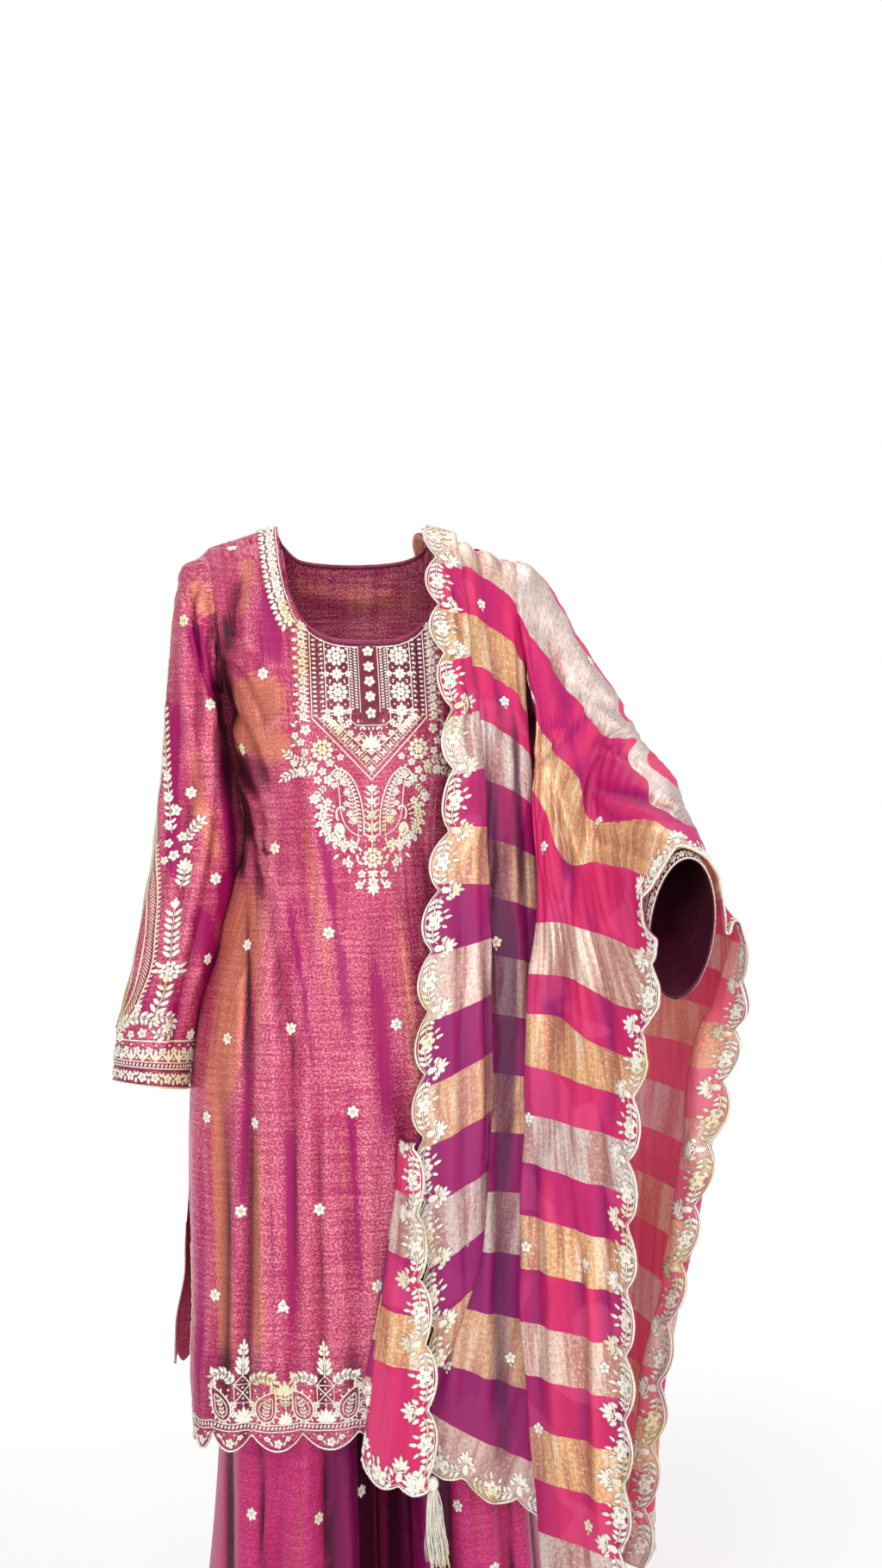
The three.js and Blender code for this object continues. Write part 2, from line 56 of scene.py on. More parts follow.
# The neckline's half width, its depth in front and behind, its height, and how square its curve is.
NECK = {"half": 88, "front": 134, "back": 28, "top": -2, "power": 3}
SHOULDER = {"half": 168, "slope": 0.34, "rise": 0.15}
ARMHOLE = {"middle": -105, "high": 75, "deep": 55, "ease": 0.3}
SQUARE = 0.8                   # below 1 the torso's sections are squarer than an ellipse
SLIT_SPREAD = 0.13             # how much wider the back is than the front where the side slits part
# The kameez hem's scallops: their width and depth, the hem's radius, and how far up the cloth they reach.
HEM_SCALLOP = {"pitch": 56.0, "deep": 19.0, "round": 175, "power": 0.8, "reach": 70}
ROW_POWER = 1.18               # above 1 a panel's rows are closer together at its top
WAVES = 22                     # waves that make up one set of ripples
STRIPE = 61.5                  # width of one stripe of the dupatta
FIRST_STRIPE = 90.0            # from the shoulder ridge to the first stripe's edge


# ---- Tables, curves and grids ------------------------------------------------------------------------

def table(names, rows):
    """A dictionary of columns, by name."""
    columns = np.array(rows, float).T
    return dict(zip(names.split(), columns))


def read(rows, key, by, at):
    """A column's value between rows, on a smooth curve that never overshoots them."""
    x, y = rows[by], rows[key]
    at = np.asarray(at, float)
    rise = np.diff(y) / np.diff(x)
    slope = np.empty_like(y)
    slope[0], slope[-1] = rise[0], rise[-1]
    same = rise[:-1] * rise[1:] > 0
    total = np.where(same, rise[:-1] + rise[1:], 1)
    slope[1:-1] = np.where(same, 2 * rise[:-1] * rise[1:] / total, 0)
    k = np.clip(np.searchsorted(x, at, side="right") - 1, 0, len(x) - 2)
    gap = x[k + 1] - x[k]
    t = np.clip((at - x[k]) / gap, 0, 1)
    value = y[k] + (y[k + 1] - y[k]) * t * t * (3 - 2 * t)
    value = value + gap * (slope[k] * t * (1 - t) ** 2 + slope[k + 1] * t * t * (t - 1))
    before = y[0] + slope[0] * (at - x[0])
    after = y[-1] + slope[-1] * (at - x[-1])
    return np.where(at < x[0], before, np.where(at > x[-1], after, value))


def clamp(value, low, high):
    return np.minimum(high, np.maximum(low, value))


def mix(a, b, t):
    return a + (b - a) * t


def smooth(value, low, high):
    t = clamp((value - low) / (high - low), 0, 1)
    return t * t * (3 - 2 * t)


def band(value, first, full, last, none):
    """1 between full and last, and 0 before first and after none."""
    return smooth(value, first, full) * (1 - smooth(value, last, none))


def unit(vectors):
    return vectors / np.maximum(np.linalg.norm(vectors, axis=-1, keepdims=True), 1e-9)


def stack(x, y, z):
    return np.stack(np.broadcast_arrays(x, y, z), -1).astype(float)


def grid(wide, tall):
    """The (u, v) of a grid with that many cells: v runs down the rows and u along each."""
    return np.meshgrid(np.linspace(0, 1, wide + 1), np.linspace(0, 1, tall + 1))


def creases(a, b, rows):
    """How far the listed creases lift the cloth at (a, b). A row is a crease: its two ends, how far it
    bows sideways, its half width and its height, which is below 0 for a trough."""
    height = np.zeros(np.broadcast(a, b).shape)
    for a0, b0, a1, b1, bow, wide, high in rows:
        run, climb = a1 - a0, b1 - b0
        length = hypot(run, climb)
        t = ((a - a0) * run + (b - b0) * climb) / length ** 2
        off = ((b - b0) * run - (a - a0) * climb) / length - bow * 4 * t * (1 - t)
        height += high * band(t, -0.12, 0.25, 0.75, 1.12) * np.exp(-np.abs(off / wide) ** 1.7)
    return height


def ripples(a, b, seed, long_a, long_b):
    """Uneven waves about 1 high, whose lengths are near long_a across and long_b along."""
    rng = np.random.default_rng(seed)
    height = np.zeros(np.broadcast(a, b).shape)
    for _ in range(WAVES):
        across = rng.choice([-1, 1]) / (long_a * rng.uniform(0.6, 1.8))
        along = 1 / (long_b * rng.uniform(0.6, 1.8))
        height += np.cos(2 * pi * (a * across + b * along + rng.uniform()))
    return height * (1.4 / WAVES ** 0.5)


class Cloth:
    """A sheet of cloth on a grid of points. side is 1 or -1: which way its face looks. A round one is
    closed: its last column lies on its first."""

    def __init__(self, points, side=1, round=False):
        self.points = points
        self.side = side
        self.round = round
        # How far the cloth is lifted into ridges and troughs, which the finishes turn into painted
        # highlights and shade.
        self.fold = np.zeros(points.shape[:2])
        # Above 0 the metal thread shows and below it the bare silk: partly the tissue's own two-tone,
        # partly painted copper sheen and violet shade.
        # On the veil, above 0 is painted paler as if lit through, and below 0 is painted dusky shade.
        self.tone = np.zeros(points.shape[:2])
        self.deep = np.zeros(points.shape[:2])     # painted shade: 1 in the deepest folds; it also darkens the ground of worked bands
        self.stripe = None
        self.cuts = []                             # its scalloped edges
        self.normals = self.faces()
        across = np.linalg.norm(np.diff(points, axis=1), axis=2)
        down = np.linalg.norm(np.diff(points, axis=0), axis=2)
        self.across = np.pad(np.cumsum(across, axis=1), ((0, 0), (1, 0)))
        self.down = np.pad(np.cumsum(down, axis=0), ((1, 0), (0, 0)))
        self.warp, self.weft = self.across, self.down    # where its threads run, for its weave and streaks
        area = np.linalg.norm(self.cells(points), axis=2).sum()
        wide = self.across[:, -1].max()
        tall = self.down[-1].max()
        self.cut = (wide * MM, tall * MM)
        self.area = min(area * MM * MM, wide * tall * MM * MM)

    @staticmethod
    def cells(points):
        one = points[:-1, 1:] - points[1:, :-1]
        other = points[1:, 1:] - points[:-1, :-1]
        return np.cross(one, other) / 2

    def faces(self):
        """The direction that the cloth faces at each point, from the cells round it."""
        cells = np.pad(self.cells(self.points), ((1, 1), (1, 1), (0, 0)))
        total = cells[1:, 1:] + cells[:-1, 1:] + cells[1:, :-1] + cells[:-1, :-1]
        if self.round:
            total[:, 0] = total[:, -1] = total[:, 0] + total[:, -1]
        return unit(total) * self.side

    def lift(self, height, mark=1.0):
        """Moves the cloth along its own face, and marks it as a ridge or a trough, where its colour gets
        painted highlights and shade.
        """
        self.points = self.points + self.normals * height[..., None]
        self.fold = self.fold + height * mark
        self.normals = self.faces()

    def relax(self, times):
        """Evens out the points inside the sheet's edge."""
        for _ in range(times):
            p = self.points
            middle = (p[1:-1, :-2] + p[1:-1, 2:] + p[:-2, 1:-1] + p[2:, 1:-1]) / 4
            p[1:-1, 1:-1] += (middle - p[1:-1, 1:-1]) * 0.8
        self.normals = self.faces()

    def at(self, u, v, values=None):
        """Points and directions (or any values on the grid) at places (u, v) of the sheet."""
        tall, wide = self.points.shape[0] - 1, self.points.shape[1] - 1
        x, y = clamp(u, 0, 1) * wide, clamp(v, 0, 1) * tall
        i = np.minimum(x.astype(int), wide - 1)
        j = np.minimum(y.astype(int), tall - 1)
        s, t = (x - i), (y - j)

        def blend(grid_values):
            a, b = (s[..., None], t[..., None]) if grid_values.ndim == 3 else (s, t)
            low = grid_values[j, i] * (1 - a) + grid_values[j, i + 1] * a
            high = grid_values[j + 1, i] * (1 - a) + grid_values[j + 1, i + 1] * a
            return low * (1 - b) + high * b

        if values is not None:
            return blend(values)
        return blend(self.points), unit(blend(self.normals))

    def nearest(self, x, z, front=True):
        """The (u, v) of the cloth seen at (x, z) from the front, or from the back."""
        away = np.hypot(self.points[..., 0] - x, self.points[..., 2] - z)
        facing = self.normals[..., 1] * (-1 if front else 1)
        away = away + np.where(facing < 0.05, 60, 0)
        j, i = np.unravel_index(np.argmin(away), away.shape)
        return i / (self.points.shape[1] - 1), j / (self.points.shape[0] - 1)


# ---- Kameez ------------------------------------------------------------------------------------------

SIDES = table("z half part", [
    (-985, 205, 100), (-900, 205, 68), (-800, 205, 32), (-715, 203.5, 0), (-610, 199, 0), (-545, 190, 0),
    (-472, 165, 0), (-400, 143.5, 0), (-340, 134.5, 0), (-285, 139, 0), (-230, 147.5, 0), (-180, 153, 0),
    (-105, 160.5, 0), (-30, 168, 0),
])
DEPTH = table("z front back", [
    (-985, 155, 130), (-800, 148, 126), (-610, 138, 122), (-545, 132, 116), (-472, 122, 101),
    (-400, 114, 84), (-340, 113, 76), (-285, 120, 79), (-230, 124, 86), (-180, 113, 91), (-150, 102, 88),
    (-110, 86, 80), (-75, 70, 69), (-45, 54, 55), (-25, 40, 42), (-12, 28, 29), (-4, 16, 17), (0, 0, 0),
])
ARM_FOOT, ARM_TOP = -180, -30  # heights between which the sleeves are set in
PANEL_HALF = 275               # half a panel's width along its curve


def shoulder_line(x):
    out = np.abs(x) - NECK["half"]
    return NECK["top"] - np.where(out > 0, SHOULDER["slope"], SHOULDER["rise"]) * out


def neckline_at(x, deep):
    across = clamp(np.abs(x) / NECK["half"], 0, 1)
    return NECK["top"] - deep * (1 - across ** NECK["power"]) ** (1 / NECK["power"])


def half_width(z):
    return read(SIDES, "half", "z", np.minimum(z, ARM_TOP))


def torso(face, turn, z):
    """The kameez's body: face is -1 for the front and 1 for the back; turn runs from -90 to 90 degrees."""
    part = np.maximum(0, read(SIDES, "part", "z", np.minimum(z, ARM_TOP)))
    x = (half_width(z) + face * SLIT_SPREAD * part) * np.sin(turn)
    near = clamp((z + 220) / 150, 0, 1)
    below = np.minimum(0, z - shoulder_line(x) * near)
    deep = read(DEPTH, "front" if face < 0 else "back", "z", below)
    high = np.clip((z - ARMHOLE["middle"]) / ARMHOLE["high"], -1, 1)
    edge = ARMHOLE["deep"] * np.sqrt(1 - high * high) + part
    bend = np.abs(np.cos(turn)) ** SQUARE
    return stack(x, face * (SEAM / 2 + edge + (deep - edge) * bend), z)


def panel_top(face, turn):
    """The height of a panel's top edge at that turn: its neckline or its shoulder, found by halving."""
    deep = NECK["front"] if face < 0 else NECK["back"]
    low, high = np.full(turn.shape, -300.0), np.full(turn.shape, 40.0)
    for _ in range(40):
        z = (low + high) / 2
        x = half_width(z) * np.sin(turn)
        inside = z < np.where(np.abs(x) < NECK["half"], neckline_at(x, deep), shoulder_line(x))
        low, high = np.where(inside, z, low), np.where(inside, high, z)
    return low


def panel_rows(count):
    """Rows from the hem up, closer together where the shoulders curve over."""
    even = np.linspace(0, 1, count + 1)
    return 1 - (1 - even) ** ROW_POWER


def hem_dip(turn):
    """How far the hem's scallops rise at that turn, as a share of their depth."""
    arc = turn * HEM_SCALLOP["round"] + HEM_SCALLOP["pitch"] / 2
    return 1 - np.abs(np.sin(pi * arc / HEM_SCALLOP["pitch"])) ** HEM_SCALLOP["power"]


def kameez_panel(face, wide, tall):
    turn, v = np.meshgrid(np.linspace(-pi / 2, pi / 2, wide + 1), panel_rows(tall))
    top = panel_top(face, turn)
    z = mix(HEM, top, v)
    z = z + HEM_SCALLOP["deep"] * hem_dip(turn) * clamp(1 - (z - HEM) / HEM_SCALLOP["reach"], 0, 1)
    points = torso(face, turn, z)
    # The right side stands out at the hem and at the waist, and the back's also under the arm.
    points[..., 0] -= 9 * smooth(-z, 850, 930) * smooth(-points[..., 0], 110, 175)
    right_side = smooth(-turn, 1.0, 1.45)
    points[..., 0] -= 5 * band(-z, 370, 400, 440, 480) * right_side
    if face > 0:
        points[..., 0] -= 9 * band(-z, 165, 200, 240, 320) * right_side
    return raised(points)


def raised(points):
    """The suit's right shoulder stands a little higher than the left one."""
    x, z = points[..., 0], points[..., 2]
    slope = smooth(-x, 60, NECK["half"]) * (1 - 0.9 * smooth(-x, SHOULDER["half"], 210))
    points[..., 2] += 10 * slope * smooth(z, -150, -25)
    return points


# x, z of each end, bow, half width, height.
FRONT_CREASES = [
    (-132, -52, -144, -150, -7, 7, -7), (-118, -60, -126, -150, -5, 5, 4),
    (-150, -128, -118, -146, 4, 5, 4), (-148, -160, -146, -330, -3, 6, -5),
    (-110, -20, -112, -70, 3, 8, -2.5), (-60, -560, -58, -900, 2, 3, 2.5),
    (-112, -480, -116, -900, 2, 4, 3), (-146, -520, -158, -900, 2, 4, 4), (10, -640, 14, -960, 3, 7, 4),
    (-137, -400, -152, -980, 6, 9, -7), (-118, -420, -128, -960, -5, 12, 5),
    (-168, -560, -176, -960, 4, 8, -5), (-94, -560, -97, -900, 2, 5, -3), (-66, -620, -68, -975, -3, 6, -4),
    (-80, -560, -84, -940, 3, 10, 3), (-38, -640, -34, -965, 2, 8, -4), (-14, -560, -8, -960, -4, 14, 5),
    (24, -600, 30, -960, 4, 9, -5), (60, -560, 72, -960, -4, 12, 5), (104, -520, 118, -970, 5, 9, -6),
    (150, -500, 160, -960, -5, 12, 5), (-154, -150, -112, -235, 8, 5, -4.5),
    (-158, -190, -108, -300, 7, 5, -4), (-150, -250, -112, -352, 6, 5, -4),
    (-140, -300, -118, -420, 4, 5, -4.5), (-128, -330, -96, -450, 4, 6, 3),
    (-146, -120, -118, -170, 5, 5, -3), (-150, -215, -118, -262, -5, 3, 2.5),
    (-143, -270, -110, -330, -4, 3, 2.5), (-131, -345, -104, -400, -4, 3, 2),
    (154, -150, 112, -235, -8, 5, -4), (158, -190, 108, -300, -7, 5, -4), (140, -300, 118, -420, -4, 5, -4),
    (-92, -235, -62, -420, 3, 5, -2), (-70, -225, -52, -460, -2, 6, 2), (-84, -330, -70, -520, 2, 4, -1.6),
    (-48, -410, -30, -600, 5, 12, 2.5), (10, -420, 4, -640, -6, 14, -2.5),
    (-104, -470, -84, -600, -4, 8, -3), (-195, -640, -198, -930, 2, 6, 4), (-122, -235, -60, -212, 6, 6, 2),
    (40, -300, 70, -460, 4, 8, -2),
]
BACK_CREASES = [
    (-150, -420, -165, -980, 6, 10, -6), (-110, -500, -120, -960, -5, 13, 6),
    (-70, -460, -82, -970, 4, 9, -5), (-30, -520, -34, -960, -5, 14, 5), (12, -440, 16, -970, 4, 9, -5),
    (56, -520, 60, -960, 5, 13, 5), (98, -460, 112, -970, -4, 9, -6), (146, -500, 158, -960, 5, 12, 5),
    (-142, -160, -90, -250, 8, 6, -4), (142, -160, 90, -250, -8, 6, -4), (-120, -300, -60, -350, 7, 6, -4),
    (120, -290, 50, -345, -7, 6, -4), (-100, -360, -40, -392, 6, 5, -3), (96, -352, 36, -390, -5, 5, -3),
    (-60, -60, 60, -62, -9, 14, -3), (0, -100, -4, -300, 4, 16, 3),
]


def panel_cloth(face, rows, tones, painted_shade_rows, wide, tall, seed):
    """A panel with its creases and the uneven small crinkles of tissue that was folded away."""
    cloth = Cloth(kameez_panel(face, wide, tall), -face)
    x, z = cloth.points[..., 0].copy(), cloth.points[..., 2].copy()
    cloth.warp = np.broadcast_to(np.linspace(-PANEL_HALF, PANEL_HALF, x.shape[1]), x.shape)
    cloth.weft = z + 0.8 * (np.abs(cloth.points[..., 1]) - 60) * smooth(z, -60, 0)
    cloth.lift(creases(x, z, rows))
    upright = ripples(cloth.warp, z, seed, 17, 260)
    level = ripples(cloth.warp, z, seed + 1, 75, 8)
    patch = smooth(ripples(cloth.warp, z, seed + 2, 120, 90), 0.2, 1.3)
    sharp = 1 - np.abs(upright)
    cloth.lift(0.9 * (0.55 * sharp + 0.35 * level * patch), 0.6)
    cloth.tone = creases(x, z, tones)
    # Shade painted into the panel's deepest folds.
    cloth.deep = creases(x, z, painted_shade_rows)
    return cloth, x, z


# x, z of each end, bow, half width, and how strongly the metal thread (above 0) or bare silk shows: partly
# the tissue's own two-tone, partly painted copper sheen and violet shade.
FRONT_TONES = [
    (-156, -204, -84, -190, 0, 26, 1.5), (-158, -190, -150, -270, 0, 12, 1.3),
    (-146, -232, -80, -258, 0, 18, 1.2), (-134, -392, -172, -640, 4, 20, 1.6),
    (-172, -620, -169, -930, 0, 9, 1.4), (-133, -650, -135, -915, 2, 8, 1.0),
    (-78, -290, -46, -545, 3, 9, 0.7), (-50, -530, -38, -780, 2, 7, 0.5),
    (-128, -30, -136, -112, 5, 9, 1.0), (-62, -300, -30, -580, 4, 7, -1.2),
    (-94, -400, -70, -600, 3, 4, -0.9), (-108, -62, -102, -165, 0, 13, -1.1),
    (-136, -480, -150, -760, 2, 6, -1.2), (-34, -600, -26, -860, 2, 7, -0.9),
    (-98, -640, -100, -900, 2, 6, -0.9), (-116, -700, -120, -960, 2, 4, -0.8),
    (-74, -700, -78, -930, 2, 5, 0.4), (0, -460, 4, -700, 3, 10, -0.8),
    (-188, -660, -196, -940, 3, 6, -0.8), (-16, -700, -10, -900, 2, 6, 0.4),
    (24, -420, 40, -700, 3, 8, 0.6), (60, -460, 70, -900, 4, 10, -0.8), (100, -300, 120, -900, 5, 14, 0.8),
    (140, -420, 160, -960, 4, 14, -0.8), (110, -80, 130, -240, 4, 14, 0.7),
    (-40, -420, -30, -470, 0, 12, 0.3), (-104, -20, -70, -120, 0, 9, 0.35),
]
# Shade painted into the front's folds, under the bust and in the armhole's shadow, in the same columns.
FRONT_PAINTED_SHADE = [
    (-154, -98, -151, -146, 0, 5, 0.6), (-154, -140, -147, -240, -2, 5, 0.9),
    (-140, -300, -118, -440, 4, 4, 0.4), (-148, -250, -112, -300, 5, 18, 0.5),
    (-142, -250, -134, -345, 3, 9, 0.45), (-138, -290, -140, -400, 2, 5, 0.9),
    (-130, -330, -106, -380, 3, 3, 0.5), (-128, -560, -133, -960, 2, 4, 0.55),
    (-90, -620, -92, -940, 2, 3, 0.4), (-66, -640, -70, -950, 2, 2.5, 0.4),
    (-161, -660, -169, -960, 2, 4, 0.5), (-134, -655, -136, -905, 2, 9, 0.42),
    (-46, -640, -44, -950, 2, 3, 0.3), (-148, -480, -172, -640, 3, 20, 0.12),
    (-118, -330, -104, -500, 4, 1.8, 0.6), (-111, -400, -107, -660, 2, 1.6, 0.55),
    (-101, -430, -99, -760, -2, 1.6, 0.5), (-92, -480, -94, -800, 2, 1.8, 0.5),
    (-84, -390, -80, -620, -2, 1.5, 0.4), (-126, -380, -124, -580, 3, 1.8, 0.6),
    (-136, -420, -148, -640, 4, 2, 0.5), (-70, -430, -60, -640, 2, 1.6, 0.35),
    (-54, -560, -52, -820, -2, 1.6, 0.35), (-20, -640, -18, -920, 2, 2, 0.35),
    (-124, -318, -100, -342, 4, 1.6, 0.6), (-126, -352, -98, -366, -4, 1.6, 0.55),
    (-122, -378, -96, -404, 4, 1.6, 0.5),
]
# The back's, in the same columns: partly its own two-tone, partly painted sheen and shade.
BACK_TONES = [
    (-150, -400, -160, -960, 4, 16, 0.9), (-110, -200, -90, -700, 6, 12, -0.8),
    (-60, -100, -50, -500, 4, 14, 0.8), (-20, -400, -26, -960, 4, 10, -0.9),
    (20, -160, 30, -700, 5, 12, 0.7), (60, -300, 70, -960, 4, 12, -0.8), (104, -200, 120, -900, 5, 14, 0.9),
    (148, -420, 160, -960, 4, 10, -0.8), (-80, -620, -86, -960, 3, 8, 0.7),
    (-120, -40, 120, -70, -10, 22, 0.5), (0, -560, 4, -960, 3, 8, 0.6),
]

front, front_x, front_z = panel_cloth(-1, FRONT_CREASES, FRONT_TONES, FRONT_PAINTED_SHADE,
                                      wide=150, tall=236, seed=3)
# The ground of the worked yoke is darkened, more towards its top.
aside = np.abs(front_x)
yoke_ground = smooth(-aside, -72, -60) * smooth(front_z, -292 + 0.9 * aside, -262 + 0.9 * aside)
front.tone += 0.1 * yoke_ground
front.deep += yoke_ground * mix(0.4, 0.66, smooth(front_z, -300, -150))
# So is the ground of its hem, which also shows less metal thread.
hem_ground = smooth(-front_z, 870, 905)
front.deep += 0.3 * hem_ground
front.tone -= 0.35 * hem_ground
back = panel_cloth(1, BACK_CREASES, BACK_TONES, [], wide=104, tall=160, seed=11)[0]

# ---- Sleeves -----------------------------------------------------------------------------------------

RING = "ix iy iz ox oy oz deep"
RIGHT_RINGS = table(RING, [
    (154, 0, -180, 168, 0, -30, 55), (157, 0, -186, 197, 0, -44, 57), (156, 0, -195, 208, 0, -90, 57),
    (150, 0, -235, 220, 0, -228, 52), (134, 0, -337, 232, 0, -335, 48), (164, -8, -474, 258, -10, -471, 44),
    (194, -18, -571, 280, -20, -565, 42), (202, -24, -627, 284, -26, -613, 40),
])
LEFT_RINGS = table(RING, [
    (154, 0, -180, 168, 0, -30, 55), (161, 0, -186, 198, 0, -44, 56), (176, -3, -200, 226, -4, -92, 54),
    (207, -15, -245, 266, -16, -170, 50), (246, -40, -322, 304, -34, -240, 46),
    (272, -75, -365, 308, -85, -274, 42), (276, -140, -405, 306, -150, -300, 38),
    (277, -220, -452, 300, -225, -332, 35), (276, -288, -510, 294, -292, -372, 33),
])


def ring_sleeve(rings, hand):
    """A sleeve's surface through its rings. Each runs from an inner end to an outer one, and is deep to
    each side of that line. Its first ring follows the armhole."""
    count = len(rings["ix"]) - 1
    rings["t"] = np.linspace(0, 1, count + 1)

    def end(side, t):
        t = clamp(t, 0, 1)
        return stack(*[read(rings, side + axis, "t", t) for axis in "xyz"]) * (hand, 1, 1)

    def point(turn, t, out=0.0):
        middle = (end("i", t) + end("o", t)) / 2
        ahead, behind = ((end("i", t + step) + end("o", t + step)) / 2 for step in (0.01, -0.01))
        high = (end("o", t) - end("i", t)) / 2
        deep = read(rings, "deep", "t", clamp(t, 0, 1)) + out
        wide = unit(np.cross(high, ahead - behind)) * deep[..., None]
        high = high + unit(high) * np.broadcast_to(out, deep.shape)[..., None]
        place = middle + high * np.cos(turn)[..., None] + wide * np.sin(turn)[..., None]
        seat = clamp(1 - t * count, 0, 1)
        rim = hand * (half_width(clamp(place[..., 2], ARM_FOOT, ARM_TOP)) + SEAM + ARMHOLE["ease"] + out)
        place[..., 0] = mix(place[..., 0], rim, seat)
        return place

    return point


# Millimetres round a sleeve, along it, and for each degree round it.
SLEEVE = {"round": 320, "long": 560, "degree": 0.85}
right_sleeve = ring_sleeve(RIGHT_RINGS, -1)
left_sleeve = ring_sleeve(LEFT_RINGS, 1)
# turn in degrees and share of the length of each end, bow, half width, height.
RIGHT_SLEEVE_CREASES = [
    (60, 0.10, 118, 0.34, 6, 7, -6), (84, 0.06, 128, 0.22, -5, 6, -4), (45, 0.16, 86, 0.46, 7, 8, 4),
    (100, 0.30, 70, 0.58, -6, 7, -5), (130, 0.34, 96, 0.70, 6, 8, 5), (60, 0.48, 84, 0.86, -4, 7, -4),
    (110, 0.52, 122, 0.90, 4, 8, -5), (148, 0.16, 140, 0.40, 4, 7, -4), (30, 0.30, 40, 0.80, 5, 9, 4),
    (95, 0.62, 100, 0.92, 2, 9, 4), (70, 0.20, 98, 0.28, 3, 4, -3), (200, 0.1, 190, 0.5, 5, 9, -5),
    (240, 0.15, 230, 0.9, 6, 10, -5), (285, 0.1, 300, 0.85, -6, 10, 5), (320, 0.3, 330, 0.9, 4, 9, -4),
    (260, 0.42, 300, 0.50, 4, 6, -4), (215, 0.44, 250, 0.55, 4, 6, -4),
]


def sleeve_cloth(sleeve, hand, rows, wide, tall, seed):
    """u runs round the sleeve from its under side, and v down it."""
    u, v = grid(wide, tall)
    turn = pi + u * 2 * pi
    cloth = Cloth(raised(sleeve(turn, v)), -1, True)
    cloth.warp, cloth.weft = u * SLEEVE["round"], -v * SLEEVE["long"]
    degrees = np.mod(np.degrees(turn) * -hand, 360)
    along = v * SLEEVE["long"]
    lines = np.array(rows).reshape(-1, 7) * (*(SLEEVE["degree"], SLEEVE["long"]) * 2, 1, 1, 1)
    seat = smooth(v, 0, 0.05)
    cloth.lift(creases(degrees * SLEEVE["degree"], along, lines) * seat * (1 - 0.8 * smooth(v, 0.88, 0.95)))
    ring = [way(2 * pi * u) * 50 for way in (np.cos, np.sin)]
    small = ripples(ring[0], along, seed, 26, 60) + ripples(ring[1], along, seed + 1, 26, 60)
    cloth.lift(0.45 * small * seat * (1 - smooth(v, 0.86, 0.92)), 0.6)
    return cloth


# The same, on the side that faces forward: partly the tissue's own two-tone, partly painted sheen and
# violet shade in the sleeve's folds.
SLEEVE_TONES = [
    (-204, -190, -212, -400, -4, 8, -1.5), (-158, -385, -152, -450, 0, 12, -1.4),
    (-190, -420, -170, -525, 3, 12, -1.5), (-196, -240, -176, -330, 0, 12, 0.5),
    (-214, -480, -222, -580, 0, 8, -1.2), (-182, -350, -176, -420, 0, 8, 0.4),
    (-178, -515, -192, -585, 0, 10, -1.2), (-158, -250, -146, -400, 0, 7, -1.4),
    (-190, -300, -160, -376, 0, 8, 0.9), (-190, -108, -162, -205, 0, 10, -1.4),
    (-178, -146, -172, -205, 0, 6, 0.7), (-188, -56, -164, -108, 0, 15, 0.9),
    (-220, -176, -210, -262, 0, 6, -1.0), (-232, -440, -250, -560, 0, 9, -0.9),
    (-176, -205, -186, -290, 0, 9, 0.3), (-205, -60, -214, -160, 0, 7, 0.5),
    (-240, -570, -216, -600, 0, 9, -0.6),
]
# Shade painted where the sleeve meets the body, in the armhole's shadow.
SLEEVE_PAINTED_SHADE = [
    (-164, -94, -158, -150, 0, 6, 0.6), (-158, -130, -150, -330, 0, 9, 1.1),
    (-148, -320, -148, -430, 0, 6, 0.7), (-158, -430, -178, -520, 0, 3, 0.5),
]

sleeve_right = sleeve_cloth(right_sleeve, -1, RIGHT_SLEEVE_CREASES, wide=104, tall=180, seed=21)
sleeve_left = sleeve_cloth(left_sleeve, 1, [], wide=72, tall=130, seed=27)
sleeve_right.weft = sleeve_right.points[..., 2]
seen = smooth(-sleeve_right.normals[..., 1], -0.1, 0.3)
sleeve_x, sleeve_z = sleeve_right.points[..., 0], sleeve_right.points[..., 2]
sleeve_right.tone = creases(sleeve_x, sleeve_z, SLEEVE_TONES) * seen
sleeve_right.deep = creases(sleeve_x, sleeve_z, SLEEVE_PAINTED_SHADE) * seen
# The cuff's worked ground is darkened, and shows less metal thread.
cuff_ground = smooth(np.linspace(0, 1, sleeve_right.points.shape[0]), 0.915, 0.93)[:, None]
sleeve_right.deep += 0.45 * cuff_ground
sleeve_right.tone -= 0.5 * cuff_ground
# The left sleeve lies under the veil: shade is painted on it all over.
sleeve_left.deep += 0.85

# ---- Sharara -----------------------------------------------------------------------------------------

LEGS = table("z outer split front back pleat", [
    (-1460, 246, 1, 186, 172, 15), (-1330, 218, 1, 170, 154, 13), (-1190, 192, 1, 152, 132, 10),
    (-1040, 177, 1, 134, 112, 6), (-985, 174, 1, 128, 106, 4), (-860, 175, 1, 119, 100, 2),
    (-760, 178, 0.97, 113, 95, 1), (-700, 179, 0.75, 113, 95, 0), (-640, 181, 0.4, 116, 98, 0),
    (-580, 179, 0.12, 119, 101, 0), (-520, 168, 0, 118, 99, 0), (-470, 157, 0, 115, 93.7, 0),
])
LEG = {"top": -470, "apart": 0.1, "pleats": 4.5}
# The right leg's pressed pleats, mirrored on the left one: x, z of each end, bow, half width, height.
LEG_CREASES = [
    (-165, -930, -176, -1450, 2, 3, -5), (-152, -930, -160, -1450, 2, 6, 4),
    (-131, -930, -136, -1450, -2, 3, -5), (-110, -940, -112, -1450, 2, 10, 4),
    (-92, -940, -92, -1450, -2, 3, -4), (-64, -930, -66, -1450, 2, 3, -7), (-44, -930, -44, -1450, 0, 8, 5),
    (-22, -930, -22, -1450, -2, 3, -8),
]
